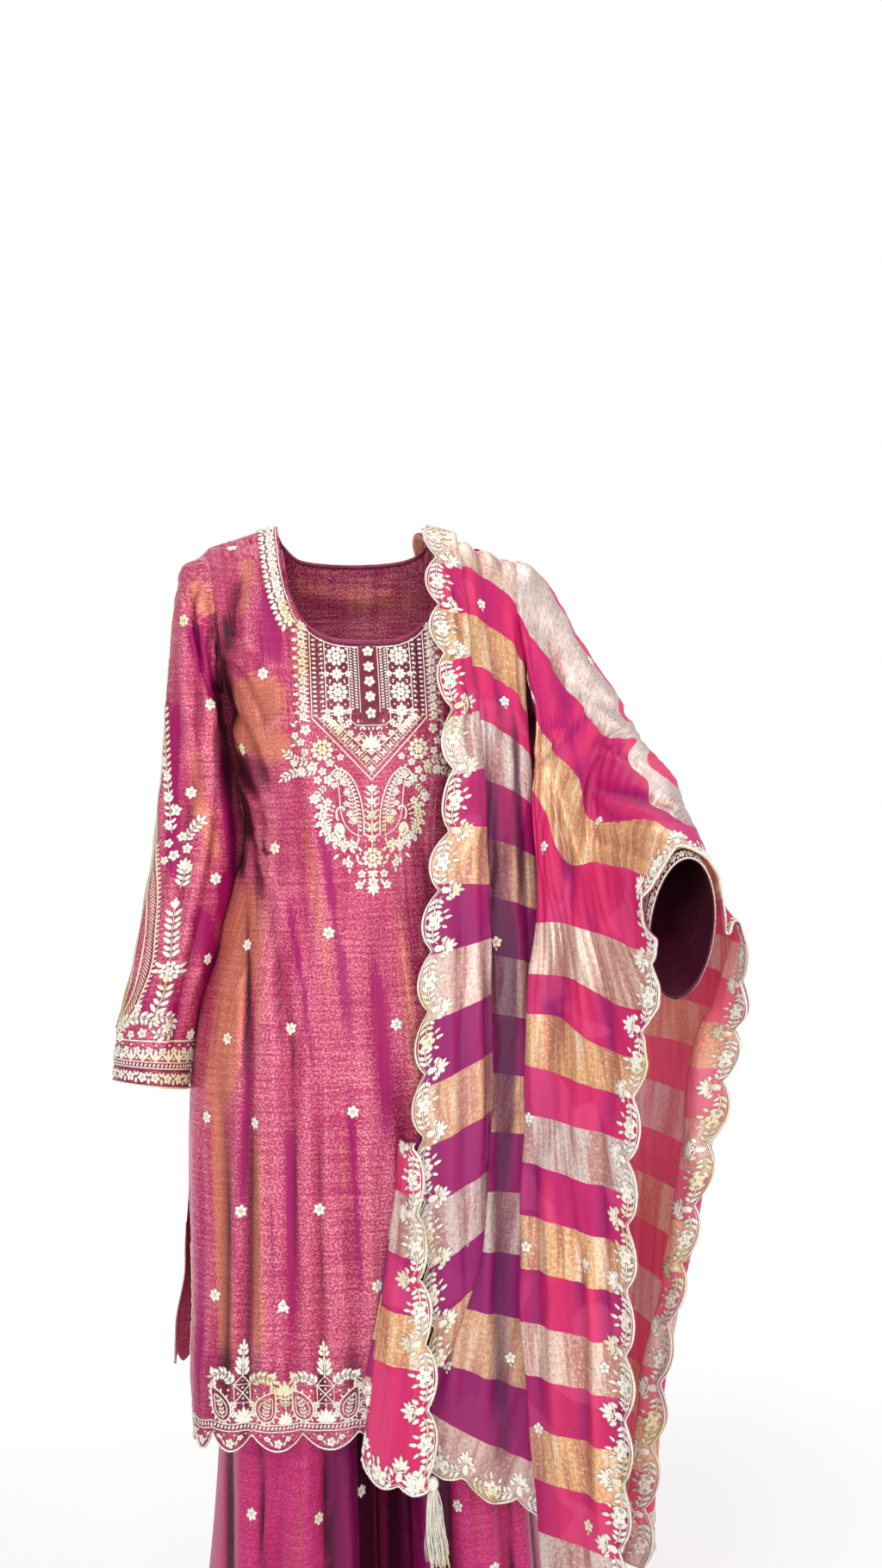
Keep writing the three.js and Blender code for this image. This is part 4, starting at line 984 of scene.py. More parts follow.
class Pen:
    """Draws stitches in its own place: moved, turned, scaled or mirrored, or bent along a path."""

    def __init__(self, work, to=lambda p: p, mirrored=False):
        self.work = work
        self.to = to
        self.mirrored = mirrored

    def moved(self, x=0.0, y=0.0, angle=0.0, size=1.0, mirror=False):
        c, s = cos(radians(angle)) * size, sin(radians(angle)) * size
        across = -1 if mirror else 1

        def to(p):
            a = p[:, 0] * across
            return self.to(np.stack([x + c * a - s * p[:, 1], y + s * a + c * p[:, 1]], 1))

        return Pen(self.work, to, self.mirrored != mirror)

    def halves(self, y=0):
        """The pen itself and its mirror image, moved up by y."""
        return [self.moved(0, y, mirror=mirror) for mirror in (False, True)]

    def bent(self, path):
        """x becomes the length along the path and y the distance to its left."""
        run = np.diff(path, axis=0)
        length = np.pad(np.cumsum(np.hypot(run[:, 0], run[:, 1])), (1, 0))
        heading = unit(np.gradient(path, axis=0))

        def to(p):
            base = np.stack([np.interp(p[:, 0], length, path[:, k]) for k in (0, 1)], 1)
            lead = unit(np.stack([np.interp(p[:, 0], length, heading[:, k]) for k in (0, 1)], 1))
            past = (p[:, 0] - clamp(p[:, 0], 0, length[-1]))[:, None]
            left = np.stack([-lead[:, 1], lead[:, 0]], 1)
            return self.to(base + left * p[:, 1:2] + lead * past)

        return Pen(self.work, to, self.mirrored), length[-1]

    def put(self, flat, high, faces):
        faces = np.asarray(faces)[:, ::-1 if self.mirrored else 1]
        self.work.put(self.to(np.asarray(flat, float)), np.asarray(high, float), faces)

    def cord(self, line, wide=1.4, high=0.8):
        line = np.asarray(line, float)
        lead = unit(np.gradient(line, axis=0))
        left = np.stack([-lead[:, 1], lead[:, 0]], 1) * wide / 2
        flat = np.concatenate([line + left, line, line - left])
        n = len(line)
        k = np.arange(n - 1)
        faces = [(k, k + n, k + 1), (k + 1, k + n, k + n + 1), (k + n, k + 2 * n, k + n + 1),
                 (k + n + 1, k + 2 * n, k + 2 * n + 1)]
        tops = high * (1 + 0.12 * (-1.0) ** np.arange(n))
        rim = np.full(n, 0.0)
        self.put(flat, np.concatenate([rim, tops, rim]), np.concatenate([np.stack(f, 1) for f in faces]))

    def level(self, line, y, wide, high):
        self.cord(np.stack([line, np.full(len(line), y)], 1), wide, high)

    def upright(self, x, line, wide, high):
        self.cord(np.stack([np.full(len(line), x), line], 1), wide, high)

    def leaf(self, x, y, angle, long=6.0, wide=2.6, high=0.9):
        c, s = cos(radians(angle)), sin(radians(angle))
        a, b = LEAF[:, 0] * long, LEAF[:, 1] * wide
        self.put(np.stack([x + c * a - s * b, y + s * a + c * b], 1), LEAF_HIGH * high, LEAF_FACES)

    def dot(self, x, y, r=1.2, high=1.0):
        turn = np.arange(6) * pi / 3
        ring = np.stack([x + r * np.cos(turn), y + r * np.sin(turn)], 1)
        inner = np.stack([x + 0.55 * r * np.cos(turn), y + 0.55 * r * np.sin(turn)], 1)
        k, after = np.arange(6), (np.arange(6) + 1) % 6
        faces = np.concatenate([
            np.stack([k, after, 6 + k], 1), np.stack([after, 6 + after, 6 + k], 1),
            np.stack([6 + k, 6 + after, np.full(6, 12)], 1),
        ])
        self.put(np.concatenate([ring, inner, [(x, y)]]), [0.0] * 6 + [high * 0.85] * 6 + [high], faces)

    def dots(self, r, *spots):
        for x, y in spots:
            self.dot(x, y, r)

    def beads(self, x, y, away, count, r):
        """A ring of dots."""
        for k in range(count):
            turn = radians(360 // count * k)
            self.dot(x + away * cos(turn), y + away * sin(turn), r)

    def whorl(self, x, y, away, count, angle, long, wide, high):
        """A ring of leaves that point outward."""
        for k in range(count):
            turn = angle + 360 * k / count
            c, s = cos(radians(turn)), sin(radians(turn))
            self.leaf(x + away * c, y + away * s, turn, long, wide, high)

    def flower(self, x, y, r=7.0, petals=6, angle=20.0, high=1.1):
        self.whorl(x, y, 0.14 * r, petals, angle, 0.86 * r, min(0.82 * r, 4.4 * r / petals), high)
        self.dot(x, y, 0.2 * r, high * 1.25)

    def flowers(self, turn, *spots):
        """Flowers of five petals, each turned by that many degrees for each unit of its x."""
        for x, y, r in spots:
            self.flower(x, y, r, 5, turn * x)

    def rosette(self, x, y, r):
        """A round flower of two rings of petals."""
        self.whorl(x, y, 0.42 * r, 10, 0, 0.6 * r, 0.5 * r, 1.0)
        self.flower(x, y, 0.5 * r, 6, 0, 1.3)

    def fan(self, x, y, angle, long, leaves=5, spread=130.0, wide=0.32):
        """A palmette: leaves that open from one point, the middle one longest."""
        for k in range(leaves):
            off = k / (leaves - 1) - 0.5
            self.leaf(x, y, angle + off * spread, long * (1 - 0.5 * abs(off)), long * wide, 1.0)
        self.dot(x, y, 0.13 * long + 0.4, 1.1)

    def scroll(self, x, y, angle, size, turns=1.15, wide=1.3):
        """A curl that winds in to a knot, to the left of its heading."""
        t = np.linspace(0, 1, 15)
        wind = turns * 2 * pi * t
        r = size * (1 - 0.78 * t)
        curl = np.stack([r * np.sin(wind), size - r * np.cos(wind)], 1) * (0.5, 0.5)
        pen = self.moved(x, y, angle)
        pen.cord(curl, wide, 0.9)
        pen.dot(*curl[-1], 0.9 * wide, 1.1)

    def vine(self, line, gap, long, wide, lean=48.0, stem=1.1):
        """A stem with leaves along it."""
        self.cord(line, stem, 0.7)
        pen, length = self.bent(np.asarray(line, float))
        for k, at in enumerate(np.arange(gap * 0.5, length - 0.2 * gap, gap)):
            for side in (1, -1):
                pen.leaf(at, side * 0.3, side * (lean + 5 * (k % 2)), long * (1 - 0.12 * (k % 2)), wide)
        pen.leaf(length - 0.5, 0, 0, long, wide)

    def sprig(self, count, *corners, leaves):
        """A vine along a curve of that many points."""
        self.vine(curve(*corners, count=count), *leaves)

    def braid(self, line, half, gap, wide, slant=3.0):
        """Two cords with short slanting stitches between them."""
        pen, length = self.bent(np.asarray(line, float))
        at = np.linspace(0, length, max(3, int(length / 3.0)))
        for side in (-1, 1):
            pen.level(at, side * half, wide, 0.8)
        for start in np.arange(gap * 0.6, length - gap * 0.3, gap):
            pen.leaf(start - slant / 2, -half * 0.7, 43, half * 2.0, 1.7, 0.7)

    def paisley(self, x, y, angle, size):
        """A drop whose tip curls over: two outlines, a sprig inside and small leaves round it."""
        pen = self.moved(x, y, angle, size / 40)
        turn = 2 * pi * np.linspace(0, 1, 36)
        lean = np.abs(np.cos(turn / 2)) ** 0.5
        drop = np.stack([13 * np.sin(turn) * lean, 17 - 17 * np.cos(turn)], 1)
        drop[:, 0] += 8 * smooth(drop[:, 1], 14, 36) * (drop[:, 1] / 34) ** 2
        pen.cord(drop, 2.2, 1.2)
        pen.cord((drop - (1, 14)) * 0.66 + (1.2, 13.5), 1.5, 1.0)
        pen.scroll(7, 33.5, 20, 8, 1.0, 1.9)
        pen.vine([(0, 5), (0.4, 11), (1, 17), (3, 23)], 4.0, 5.4, 2.8)
        pen.dot(0, 3.5, 1.3)
        for k in range(0, 36, 2):
            out = drop[k] - (1, 16)
            pen.leaf(*drop[k], np.degrees(np.arctan2(out[1], out[0])), 4.8, 2.6, 1.0)


def curve(*corners, count):
    """A Bezier curve through its first and last corner."""
    t = np.linspace(0, 1, count)[:, None]
    points = [np.array(corner, float)[None] for corner in corners]
    while len(points) > 1:
        points = [a * (1 - t) + b * t for a, b in zip(points[:-1], points[1:])]
    return points[0]


def edge_chart(cloth, edge):
    """Places along an edge of the cloth and how far inside it, as (u, v)."""
    swapped = edge in ("left", "right")
    far = edge in ("last", "right")
    length = (cloth.down[:, -1 if far else 0] if swapped else cloth.across[-1 if far else 0])
    depth = cloth.across if swapped else cloth.down
    share = np.linspace(0, 1, len(length))

    def chart(p):
        along = np.interp(p[:, 0], length, share)

        def look(inward):
            return cloth.at(inward, along, depth) if swapped else cloth.at(along, inward, depth)

        total = look(np.ones(len(p)))
        want = total - p[:, 1] if far else p[:, 1]
        inside = want / total
        for _ in range(4):
            inside = inside + (want - look(inside)) / total
        return (inside, along) if swapped else (along, inside)

    chart.length = length[-1]
    return chart


def sleeve_chart(cloth):
    """Places round a sleeve from its outer line and heights above its wrist, as (u, v)."""
    middle = cloth.points.shape[1] // 2
    rows = np.linspace(0, 1, cloth.points.shape[0])
    above = cloth.down[-1, middle] - cloth.down[:, middle]
    around = cloth.across[:, -1]

    def chart(p):
        v = np.interp(p[:, 1], above[::-1], rows[::-1])
        return np.mod(0.5 + p[:, 0] / np.interp(v, rows, around), 1), v

    chart.length = around[-1]
    return chart


def spot_chart(cloth, u, v):
    """Flat places round one spot of the cloth, with y up."""
    rows, columns = cloth.points.shape[:2]
    step_u, step_v = 1.5 / (columns - 1), 1.5 / (rows - 1)
    ends = cloth.at(np.array([u - step_u, u + step_u, u, u]), np.array([v, v, v - step_v, v + step_v]))[0]
    along_u = (ends[1] - ends[0]) / (2 * step_u)
    along_v = (ends[3] - ends[2]) / (2 * step_v)
    normal = unit(np.cross(along_u, along_v)) * cloth.side
    upward = unit(np.array((0, 0, 1.0)) - normal * normal[2] + 1e-6)
    sideways = np.cross(upward, normal)
    basis = np.linalg.lstsq(np.stack([along_u, along_v], 1), np.stack([sideways, upward], 1), rcond=None)[0]

    def chart(p):
        moved = p @ basis.T
        return u + moved[:, 0], v + moved[:, 1]

    return chart


class Needlework:
    """The stitches of one piece of cloth, from several charts, made into one object."""

    def __init__(self, cloth):
        self.cloth = cloth
        self.points, self.high, self.faces, self.count = [], [], [], 0

    def sew(self, chart, draw, lift=0.25):
        work = Stitches()
        draw(Pen(work))
        points, normals, high, faces = work.laid(self.cloth, chart, lift)
        a, b, c = (points[faces[:, k]] for k in range(3))
        if (np.cross(b - a, c - a) * normals[faces[:, 0]]).sum() < 0:
            faces = faces[:, ::-1]
        self.points.append(points)
        self.high.append(high)
        self.faces.append(faces + self.count)
        self.count += len(points)

    def scatter(self, places, draw, front=True):
        for x, z in places:
            self.sew(spot_chart(self.cloth, *self.cloth.nearest(x, z, front)), draw)

    def sew_edge(self, edge, pitch, start, deep, origin=0.0):
        chart = edge_chart(self.cloth, edge)
        self.sew(chart, scallop_edge(pitch, start, chart.length - 1, deep, origin))

    def finish(self, name, material):
        piece = mesh_object(name, np.concatenate(self.points), np.concatenate(self.faces), material)
        number_points(piece.data, "high", np.concatenate(self.high))
        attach(piece, "root")


def small_flower(pen):
    """The scattered motif of the kameez, the sharara and the dupatta."""
    pen.flower(0, 0, 7.4, 6)


def veil_flower(pen):
    pen.flower(0, 1, 6.6, 5)
    pen.leaf(-0.5, -4, -75, 5, 2.4)


# ---- Embroidery: the dupatta's scalloped edge --------------------------------------------------------

def scallop_edge(pitch, start, length, deep, origin):
    """A cord on the edge, leafy stems with a flower in each scallop, and a bud and curls at each cusp."""
    def draw(pen):
        line = np.arange(origin, length, 2.4)
        pen.level(line, 0.8, 3.2, 1.5)
        pen.level(line, 4.0, 1.1, 0.8)
        first = start - pitch * np.ceil(start / pitch)
        for cusp in np.arange(first, length, pitch):
            if cusp < origin - pitch:
                continue
            for at, mirror in ((cusp, False), (cusp + pitch, True)):
                if at < 0 or at > length:
                    continue
                half = pen.moved(at, 0, mirror=mirror)
                stem = curve((6, 12 * deep), (pitch * 0.18, 8 * deep), (pitch / 2 - 6, 12 * deep), count=9)
                half.vine(stem, 6.6, 10.0, 4.9, 52, 1.7)
                half.leaf(7, 17 * deep, 62, 10, 5.0)
            middle = pen.moved(cusp + pitch / 2, 0)
            middle.flower(0, 14.0 * deep, 8.4, 5, 90)
            middle.leaf(-1, 21.5 * deep, 96, 9.5, 4.6)
            middle.leaf(7, 20 * deep, 58, 7.5, 3.8)
            middle.leaf(-7, 20 * deep, 122, 7.5, 3.8)
            if cusp >= 0:
                joint = pen.moved(cusp, 0)
                joint.leaf(-2.0, 5, 80, 16, 8.0, 1.6)
                joint.scroll(1.5, 19, -6, 12, 1.15, 2.1)
                joint.moved(0, 0, mirror=True).scroll(2, 17, -4, 9.5, 1.1, 2.0)
                joint.fan(0.5, 23, 90, 15, 5, 140, 0.36)
    return draw

# ---- Finishes ----------------------------------------------------------------------------------------

def dye(red, green, blue, alpha=1.0):
    """A colour from its 0-255 screen values, as the shaders want it."""
    def linear(value):
        value /= 255
        return value / 12.92 if value <= 0.04045 else ((value + 0.055) / 1.055) ** 2.4
    return (linear(red), linear(green), linear(blue), alpha)


class Finish:
    """A material and short ways to add its nodes."""

    def __init__(self, name):
        self.material = bpy.data.materials.new(name)
        self.material.use_nodes = True
        self.tree = self.material.node_tree
        self.shader = self.tree.nodes["Principled BSDF"]

    def put(self, socket, value):
        if isinstance(value, bpy.types.NodeSocket):
            self.tree.links.new(value, socket)
        else:
            socket.default_value = value

    def add(self, kind, settings, values):
        node = self.tree.nodes.new("ShaderNode" + kind)
        for key, value in settings.items():
            setattr(node, key, value)
        for key, value in values.items():
            self.put(node.inputs[key], value)
        return node

    def cloth_place(self):
        """The cloth's own (across, along), in metres."""
        return self.add("UVMap", {"uv_map": "cloth"}, {}).outputs[0]

    def scaled(self, place, *scale):
        return self.add("Mapping", {}, {"Vector": place, "Scale": scale}).outputs[0]

    def threads(self, across, along, *detail):
        """Noise with that many spots to the metre across the cloth and along it."""
        return self.noise(self.scaled(self.cloth_place(), across, along, 1.0), *detail)

    def noise(self, vector, detail=2.0, rough=0.5, warp=0.0):
        values = {"Vector": vector, "Scale": 1.0, "Detail": detail, "Roughness": rough, "Distortion": warp}
        return self.add("TexNoise", {}, values).outputs[0]

    def maths(self, way, a, b=0.0, c=0.0, clamped=False):
        return self.add("Math", {"operation": way, "use_clamp": clamped}, {0: a, 1: b, 2: c}).outputs[0]

    def step(self, value, low, high):
        values = {"Value": value, "From Min": low, "From Max": high}
        return self.add("MapRange", {"interpolation_type": "SMOOTHSTEP"}, values).outputs[0]

    def mad(self, value, by, plus, clamped=False):
        return self.maths("MULTIPLY_ADD", value, by, plus, clamped)

    def times(self, a, b):
        return self.maths("MULTIPLY", a, b)

    def blend(self, share, a, b):
        return self.add("Mix", {"data_type": "RGBA"}, {0: share, 6: a, 7: b}).outputs[2]

    def tint(self, colour, share, strength, other):
        """The colour moved towards another one, by a share of that strength."""
        return self.blend(self.times(share, strength), colour, other)

    def near(self, scale, detail=1.0):
        """Noise of that scale to the metre, from where the point is on the object."""
        where = self.add("TexCoord", {}, {}).outputs["Object"]
        return self.noise(self.scaled(where, scale, scale, scale), detail)

    def painted(self, name):
        """A number painted on the object's points."""
        return self.add("Attribute", {"attribute_name": name}, {}).outputs["Fac"]

    def bump(self, height, distance, strength=1.0, under=None):
        values = {"Height": height, "Distance": distance, "Strength": strength}
        if under is not None:
            values["Normal"] = under
        return self.add("Bump", {}, values).outputs[0]

    def wear(self, colour, metal, rough, **more):
        """Links or sets the shader's sockets; those in `more` are named with _ for each space."""
        for key, value in {"Base_Color": colour, "Metallic": metal, "Roughness": rough, **more}.items():
            self.put(self.shader.inputs[key.replace("_", " ")], value)
        return self.material

    def weave(self, pitch=0.0007, distance=0.00012, under=None):
        """Crossing threads at that pitch, and slubs in them."""
        across = self.threads(1 / pitch, 0.12 / pitch, 1)
        along = self.threads(0.12 / pitch, 1 / pitch, 1)
        return self.bump(self.maths("ADD", across, along), distance, 0.8, under)


def tissue(name, body, lit, bare, metal, pale, dark, warmth=0.0):
    """Shot tissue: dyed silk crossed by a metal thread. Its tone says which of the two shows, partly the
    cloth's own two-tone and partly painted copper sheen and violet shade, and the edges between them fray
    along the threads. Its raised parts get a painted highlight and glints, and its troughs painted shade."""
    f = Finish(name)
    grain = f.threads(440, 400, 2, 0.65)
    fine = f.threads(1150, 1000, 1)
    streak = f.threads(70, 2.6, 3, 0.6, 0.2)
    broad = f.threads(9, 4.0, 2, 0.5, 0.4)
    cloud = f.threads(16, 7, 2, 0.55, 0.3)
    level = f.threads(14, 300, 2, 0.6)
    fold, tone, deep = f.painted("fold"), f.painted("tone"), f.painted("deep")
    drift = f.mad(streak, 1.0, f.mad(broad, 0.8, warmth - 0.9))
    # Ridges lean to the metal thread and troughs to the bare silk: painted sheen and shade.
    drift = f.maths("ADD", f.mad(fold, 0.02, tone), drift)
    frayed = f.mad(grain, 1.1, f.mad(level, 0.5, f.maths("ADD", drift, -0.8)))
    warm = f.step(frayed, 0.14, 0.90)
    cool = f.step(f.times(frayed, -1.0), 0.12, 0.92)
    # Painted highlight: raised folds and broad patches move the body towards its lit colour.
    painted_sheen = f.step(f.mad(fold, 0.09, f.mad(streak, 0.5, cloud)), 0.55, 0.98)
    colour = f.tint(body, painted_sheen, 0.62, lit)
    colour = f.tint(colour, cool, 0.86, bare)
    colour = f.tint(colour, warm, 0.86, metal)
    # Painted glints of the metal thread, in the pale colour, fewer on the bare silk.
    glint = f.mad(fine, 0.5, f.mad(grain, 0.7, f.times(level, 0.25)))
    spark = f.mad(painted_sheen, 0.34, f.mad(cool, -0.6, 0.36), True)
    colour = f.blend(f.times(spark, f.step(glint, 0.69, 0.86)), colour, pale)
    colour = f.tint(colour, f.step(glint, 0.74, 0.56), 0.4, bare)
    # Painted shade in the deepest folds and the troughs, and the darkened grounds, in the dark colour.
    shade_mask = f.step(f.mad(grain, 0.22, f.mad(fold, -0.09, deep)), 0.24, 1.05)
    colour = f.tint(colour, shade_mask, 0.94, dark)
    crease = f.bump(level, 0.0012, 0.4)
    crease = f.bump(streak, 0.003, 0.5, crease)
    normal = f.weave(under=f.bump(grain, 0.0003, 0.5, crease))
    shine = f.mad(warm, 0.16, f.mad(cool, -0.12, 0.24))
    rough = f.mad(grain, 0.25, 0.30)
    return f.wear(colour, shine, rough, Normal=normal, Specular_IOR_Level=0.25, Sheen_Weight=0.05,
                  Sheen_Roughness=0.4, Sheen_Tint=dye(240, 140, 150))


GOLD, SILVER, ROSE = (226, 174, 120), (214, 196, 190), (222, 188, 172)
STRIPE_ORDER = [
    dye(188, 26, 92, 0), dye(*GOLD), dye(200, 36, 96, 0), dye(*SILVER),
    dye(182, 20, 98, 0), dye(*GOLD), dye(196, 28, 92, 0), dye(*ROSE),
]


def striped_veil(name, sheer=0.0):
    """The dupatta: dyed silk stripes between stripes of metal thread, streaked along its length with
    painted satin highlights and shade. Light comes through to its wrong side by subsurface scattering, and
    where its tone is above 0 that side is also painted paler as if lit through."""
    f = Finish(name)
    along = f.add("SeparateXYZ", {}, {0: f.cloth_place()}).outputs[1]
    sway = f.threads(6, 3, 1)
    count = f.mad(along, 1 / (STRIPE * MM), -FIRST_STRIPE / STRIPE)
    count = f.mad(sway, 0.16, f.maths("ADD", count, -0.08))
    turn = f.maths("FLOORED_MODULO", count, len(STRIPE_ORDER))
    ramp = f.add("ValToRGB", {}, {0: f.maths("DIVIDE", turn, len(STRIPE_ORDER))})
    ramp.color_ramp.interpolation = "CONSTANT"
    stops = ramp.color_ramp.elements
    for number, colour in enumerate(STRIPE_ORDER):
        stop = stops[number] if number < 2 else stops.new(number / len(STRIPE_ORDER))
        stop.position = number / len(STRIPE_ORDER)
        stop.color = colour
    base, is_metal = ramp.outputs[0], ramp.outputs[1]
    fold, deep, tone = f.painted("fold"), f.painted("deep"), f.painted("tone")
    # Painted dusky shade where the tone is below 0, and painted light coming through where it is above 0.
    veil_shade, through = f.step(tone, 0.0, -1.0), f.step(tone, 0.0, 1.0)
    streaks = f.threads(120, 6, 2, 0.6, 0.2)
    wide_streaks = f.threads(32, 7, 2, 0.5, 0.5)
    cloud = f.threads(9, 9, 2)
    doubled = f.step(f.threads(7, 11, 1, 0.5, 0.6), 0.53, 0.56)
    grain = f.threads(620, 420, 1)
    mottle = f.threads(300, 210, 2, 0.7)
    # Satin streaks along the metal stripes: painted shade in some, darker in the troughs, and painted
    # highlights in others.
    satin_streaks = f.mad(streaks, 0.6, f.times(wide_streaks, 0.6))
    streak_shade = f.step(f.mad(fold, -0.03, satin_streaks), 0.54, 0.74)
    metal_colour = f.tint(base, streak_shade, 0.72, dye(172, 92, 84))
    metal_colour = f.tint(metal_colour, f.step(satin_streaks, 0.56, 0.44), 0.5, dye(252, 238, 220))
    # Painted sheen of the metal's crinkles: darker and lighter mottling.
    metal_colour = f.tint(metal_colour, f.step(mottle, 0.50, 0.38), 0.4, dye(150, 92, 74))
    metal_colour = f.tint(metal_colour, f.step(mottle, 0.54, 0.66), 0.4, dye(255, 240, 214))
    # Painted dusky shade on the metal.
    metal_colour = f.tint(metal_colour, veil_shade, 0.34, dye(140, 104, 120))
    # Painted glints of the weave on the metal.
    metal_colour = f.tint(metal_colour, f.step(grain, 0.58, 0.74), 0.35, dye(255, 244, 226))
    # Painted shade: the silk is darker violet in its troughs and in broad clouds.
    shade = f.step(f.mad(fold, -0.12, f.maths("SUBTRACT", cloud, 0.5)), -0.10, 0.65)
    silk = f.tint(base, shade, 0.8, dye(138, 8, 96))
    # Painted highlight: the silk is lighter on its ridges and in broad clouds.
    lit = f.step(f.mad(fold, 0.10, f.maths("SUBTRACT", cloud, 0.5)), 0.0, 0.6)
    silk = f.tint(silk, lit, 0.55, dye(228, 62, 104))
    silk = f.tint(silk, doubled, 0.34, dye(222, 78, 128))
    # Painted glints of the weave on the silk.
    silk = f.tint(silk, f.step(grain, 0.55, 0.8), 0.25, dye(226, 96, 132))
    # Painted dusky shade on the silk.
    silk = f.tint(silk, veil_shade, 0.8, dye(118, 4, 94))
    colour = f.blend(is_metal, silk, metal_colour)
    # Painted shade in the deepest folds and the troughs.
    shade_mask = f.step(f.mad(fold, -0.07, deep), 0.12, 1.0)
    colour = f.tint(colour, shade_mask, 0.85, dye(70, 6, 52))
    # Painted light: the wrong side is made paler where light would come through it.
    colour = f.tint(colour, through, sheer, dye(255, 168, 152))
    metal = f.times(is_metal, 0.42 - sheer)
    rough = f.mad(is_metal, -0.08, f.mad(grain, 0.16, 0.40))
    creased = f.bump(streaks, 0.0018, f.mad(is_metal, 0.22, 0.12))
    normal = f.weave(0.0008, 0.0001, creased)
    return f.wear(colour, metal, rough, Normal=normal, Specular_IOR_Level=0.3, Sheen_Weight=0.08,
                  Sheen_Roughness=0.35, Sheen_Tint=dye(250, 150, 180), Subsurface_Weight=2.6 * sheer,
                  Subsurface_Radius=(1.0, 0.48, 0.58), Subsurface_Scale=0.005)


def solid_silk(name, colour, shade, pitch=0.0009, on_cloth=True):
    """A plain silk for bindings, the placket and its covered buttons."""
    f = Finish(name)
    if on_cloth:
        cloud = f.threads(90, 90, 2)
        weave = f.weave(pitch, 0.0002)
    else:
        cloud, weave = f.near(90, 2), f.bump(f.near(1 / pitch), 0.0003, 0.7)
    mixed = f.blend(f.step(cloud, 0.3, 0.7), colour, shade)
    return f.wear(mixed, 0.1, 0.45, Normal=weave, Sheen_Weight=0.2)


def embroidery_thread(name, cream, gold, shade):
    """Corded thread in cream and pale gold: twisted and uneven, with painted shade in its twists and
    where it sinks between stitches.
    """
    f = Finish(name)
    stitch = f.near(900, 2)
    tint = f.near(13, 2)
    high = f.painted("high")
    colour = f.blend(f.step(tint, 0.48, 0.66), cream, gold)
    # Painted shade in the twists: specks of the stitch noise move towards the shade colour.
    colour = f.tint(colour, f.step(stitch, 0.52, 0.34), 0.6, shade)
    # Painted shade on the stitches' low rims, where they sink into the cloth.
    sunk_shade = f.step(f.mad(stitch, 0.25, high), 0.62, 0.16)
    colour = f.tint(colour, sunk_shade, 0.85, dye(96, 22, 40))
    normal = f.bump(stitch, 0.0007, 0.9)
    return f.wear(colour, 0.1, f.mad(stitch, 0.3, 0.32), Normal=normal, Sheen_Weight=0.1)


# Each tissue's body, painted highlight, bare silk, metal thread, painted glint and painted shade colours.
KAMEEZ_TISSUE = tissue("kameez_tissue", dye(162, 18, 80), dye(190, 66, 112), dye(148, 4, 88),
                       dye(204, 118, 82), dye(244, 176, 172), dye(50, 5, 26))
SHARARA_TISSUE = tissue("sharara_tissue", dye(172, 18, 90), dye(190, 44, 108), dye(104, 0, 72),
                        dye(160, 72, 66), dye(208, 88, 134), dye(44, 2, 32), warmth=0.1)
VEIL = striped_veil("striped_veil")
VEIL_WRONG_SIDE = striped_veil("striped_veil_wrong_side", sheer=0.3)

BINDING = solid_silk("binding_silk", dye(150, 18, 78), dye(112, 8, 58))
PLACKET = solid_silk("placket_silk", dye(134, 18, 54), dye(98, 10, 42), pitch=0.0012, on_cloth=False)
THREAD = embroidery_thread("corded_thread", dye(246, 242, 230), dye(234, 222, 180), dye(170, 150, 116))
GILT = embroidery_thread("gilt_thread", dye(244, 236, 206), dye(228, 196, 112), dye(150, 116, 66))


# ---- Pieces ------------------------------------------------------------------------------------------

def mesh_object(name, points, faces, material):
    """A smooth mesh from points in millimetres."""
    mesh = bpy.data.meshes.new(name)
    mesh.from_pydata((np.asarray(points) * MM).tolist(), [], np.asarray(faces).tolist())
    mesh.polygons.foreach_set("use_smooth", np.ones(len(mesh.polygons), bool))
    mesh.materials.append(material)
    mesh.update()
    piece = bpy.data.objects.new(name, mesh)
    bpy.context.scene.collection.objects.link(piece)
    return piece


def quads(rows, columns, side):
    """The faces of a grid with that many points each way."""
    j, i = np.mgrid[0:rows - 1, 0:columns - 1]
    a = (j * columns + i).ravel()
    order = [a, a + 1, a + columns + 1, a + columns]
    return np.stack(order if side > 0 else order[::-1], 1)


def number_points(mesh, name, values):
    numbers = mesh.attributes.new(name, "FLOAT", "POINT").data
    numbers.foreach_set("value", np.asarray(values, np.float32).ravel())


def paint_places(mesh, across, along):
    """The cloth's own coordinates, in metres, on every corner of its faces."""
    corner = np.empty(len(mesh.loops), np.int32)
    mesh.loops.foreach_get("vertex_index", corner)
    places = np.stack([np.ravel(across)[corner], np.ravel(along)[corner]], 1) * MM
    mesh.uv_layers.new(name="cloth").data.foreach_set("uv", places.astype(np.float32).ravel())


def cloth_piece(name, cloth, kind, nodes, wrong_side=None):
    """A thin shell of cloth that stands for its nodes."""
    material, thick, slot = kind
    rows, columns = cloth.points.shape[:2]
    points = cloth.points.reshape(-1, 3)
    faces = quads(rows, columns, cloth.side)
    if cloth.round:
        kept = np.arange(rows * columns).reshape(rows, columns)
        kept[:, -1] = kept[:, 0]
        faces = kept.ravel()[faces]
    piece = mesh_object(name, points, faces, material)
    along = cloth.weft if cloth.stripe is None else cloth.stripe
    paint_places(piece.data, cloth.warp, np.broadcast_to(along, cloth.warp.shape))
    for mark in ("fold", "tone", "deep"):
        number_points(piece.data, mark, getattr(cloth, mark))
    shell = piece.modifiers.new("shell", "SOLIDIFY")
    shell.thickness = thick * MM
    shell.offset = -1
    if wrong_side is not None:
        piece.data.materials.append(wrong_side)
        shell.material_offset = 1
    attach(piece, "root")
    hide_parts(*nodes)
    return piece


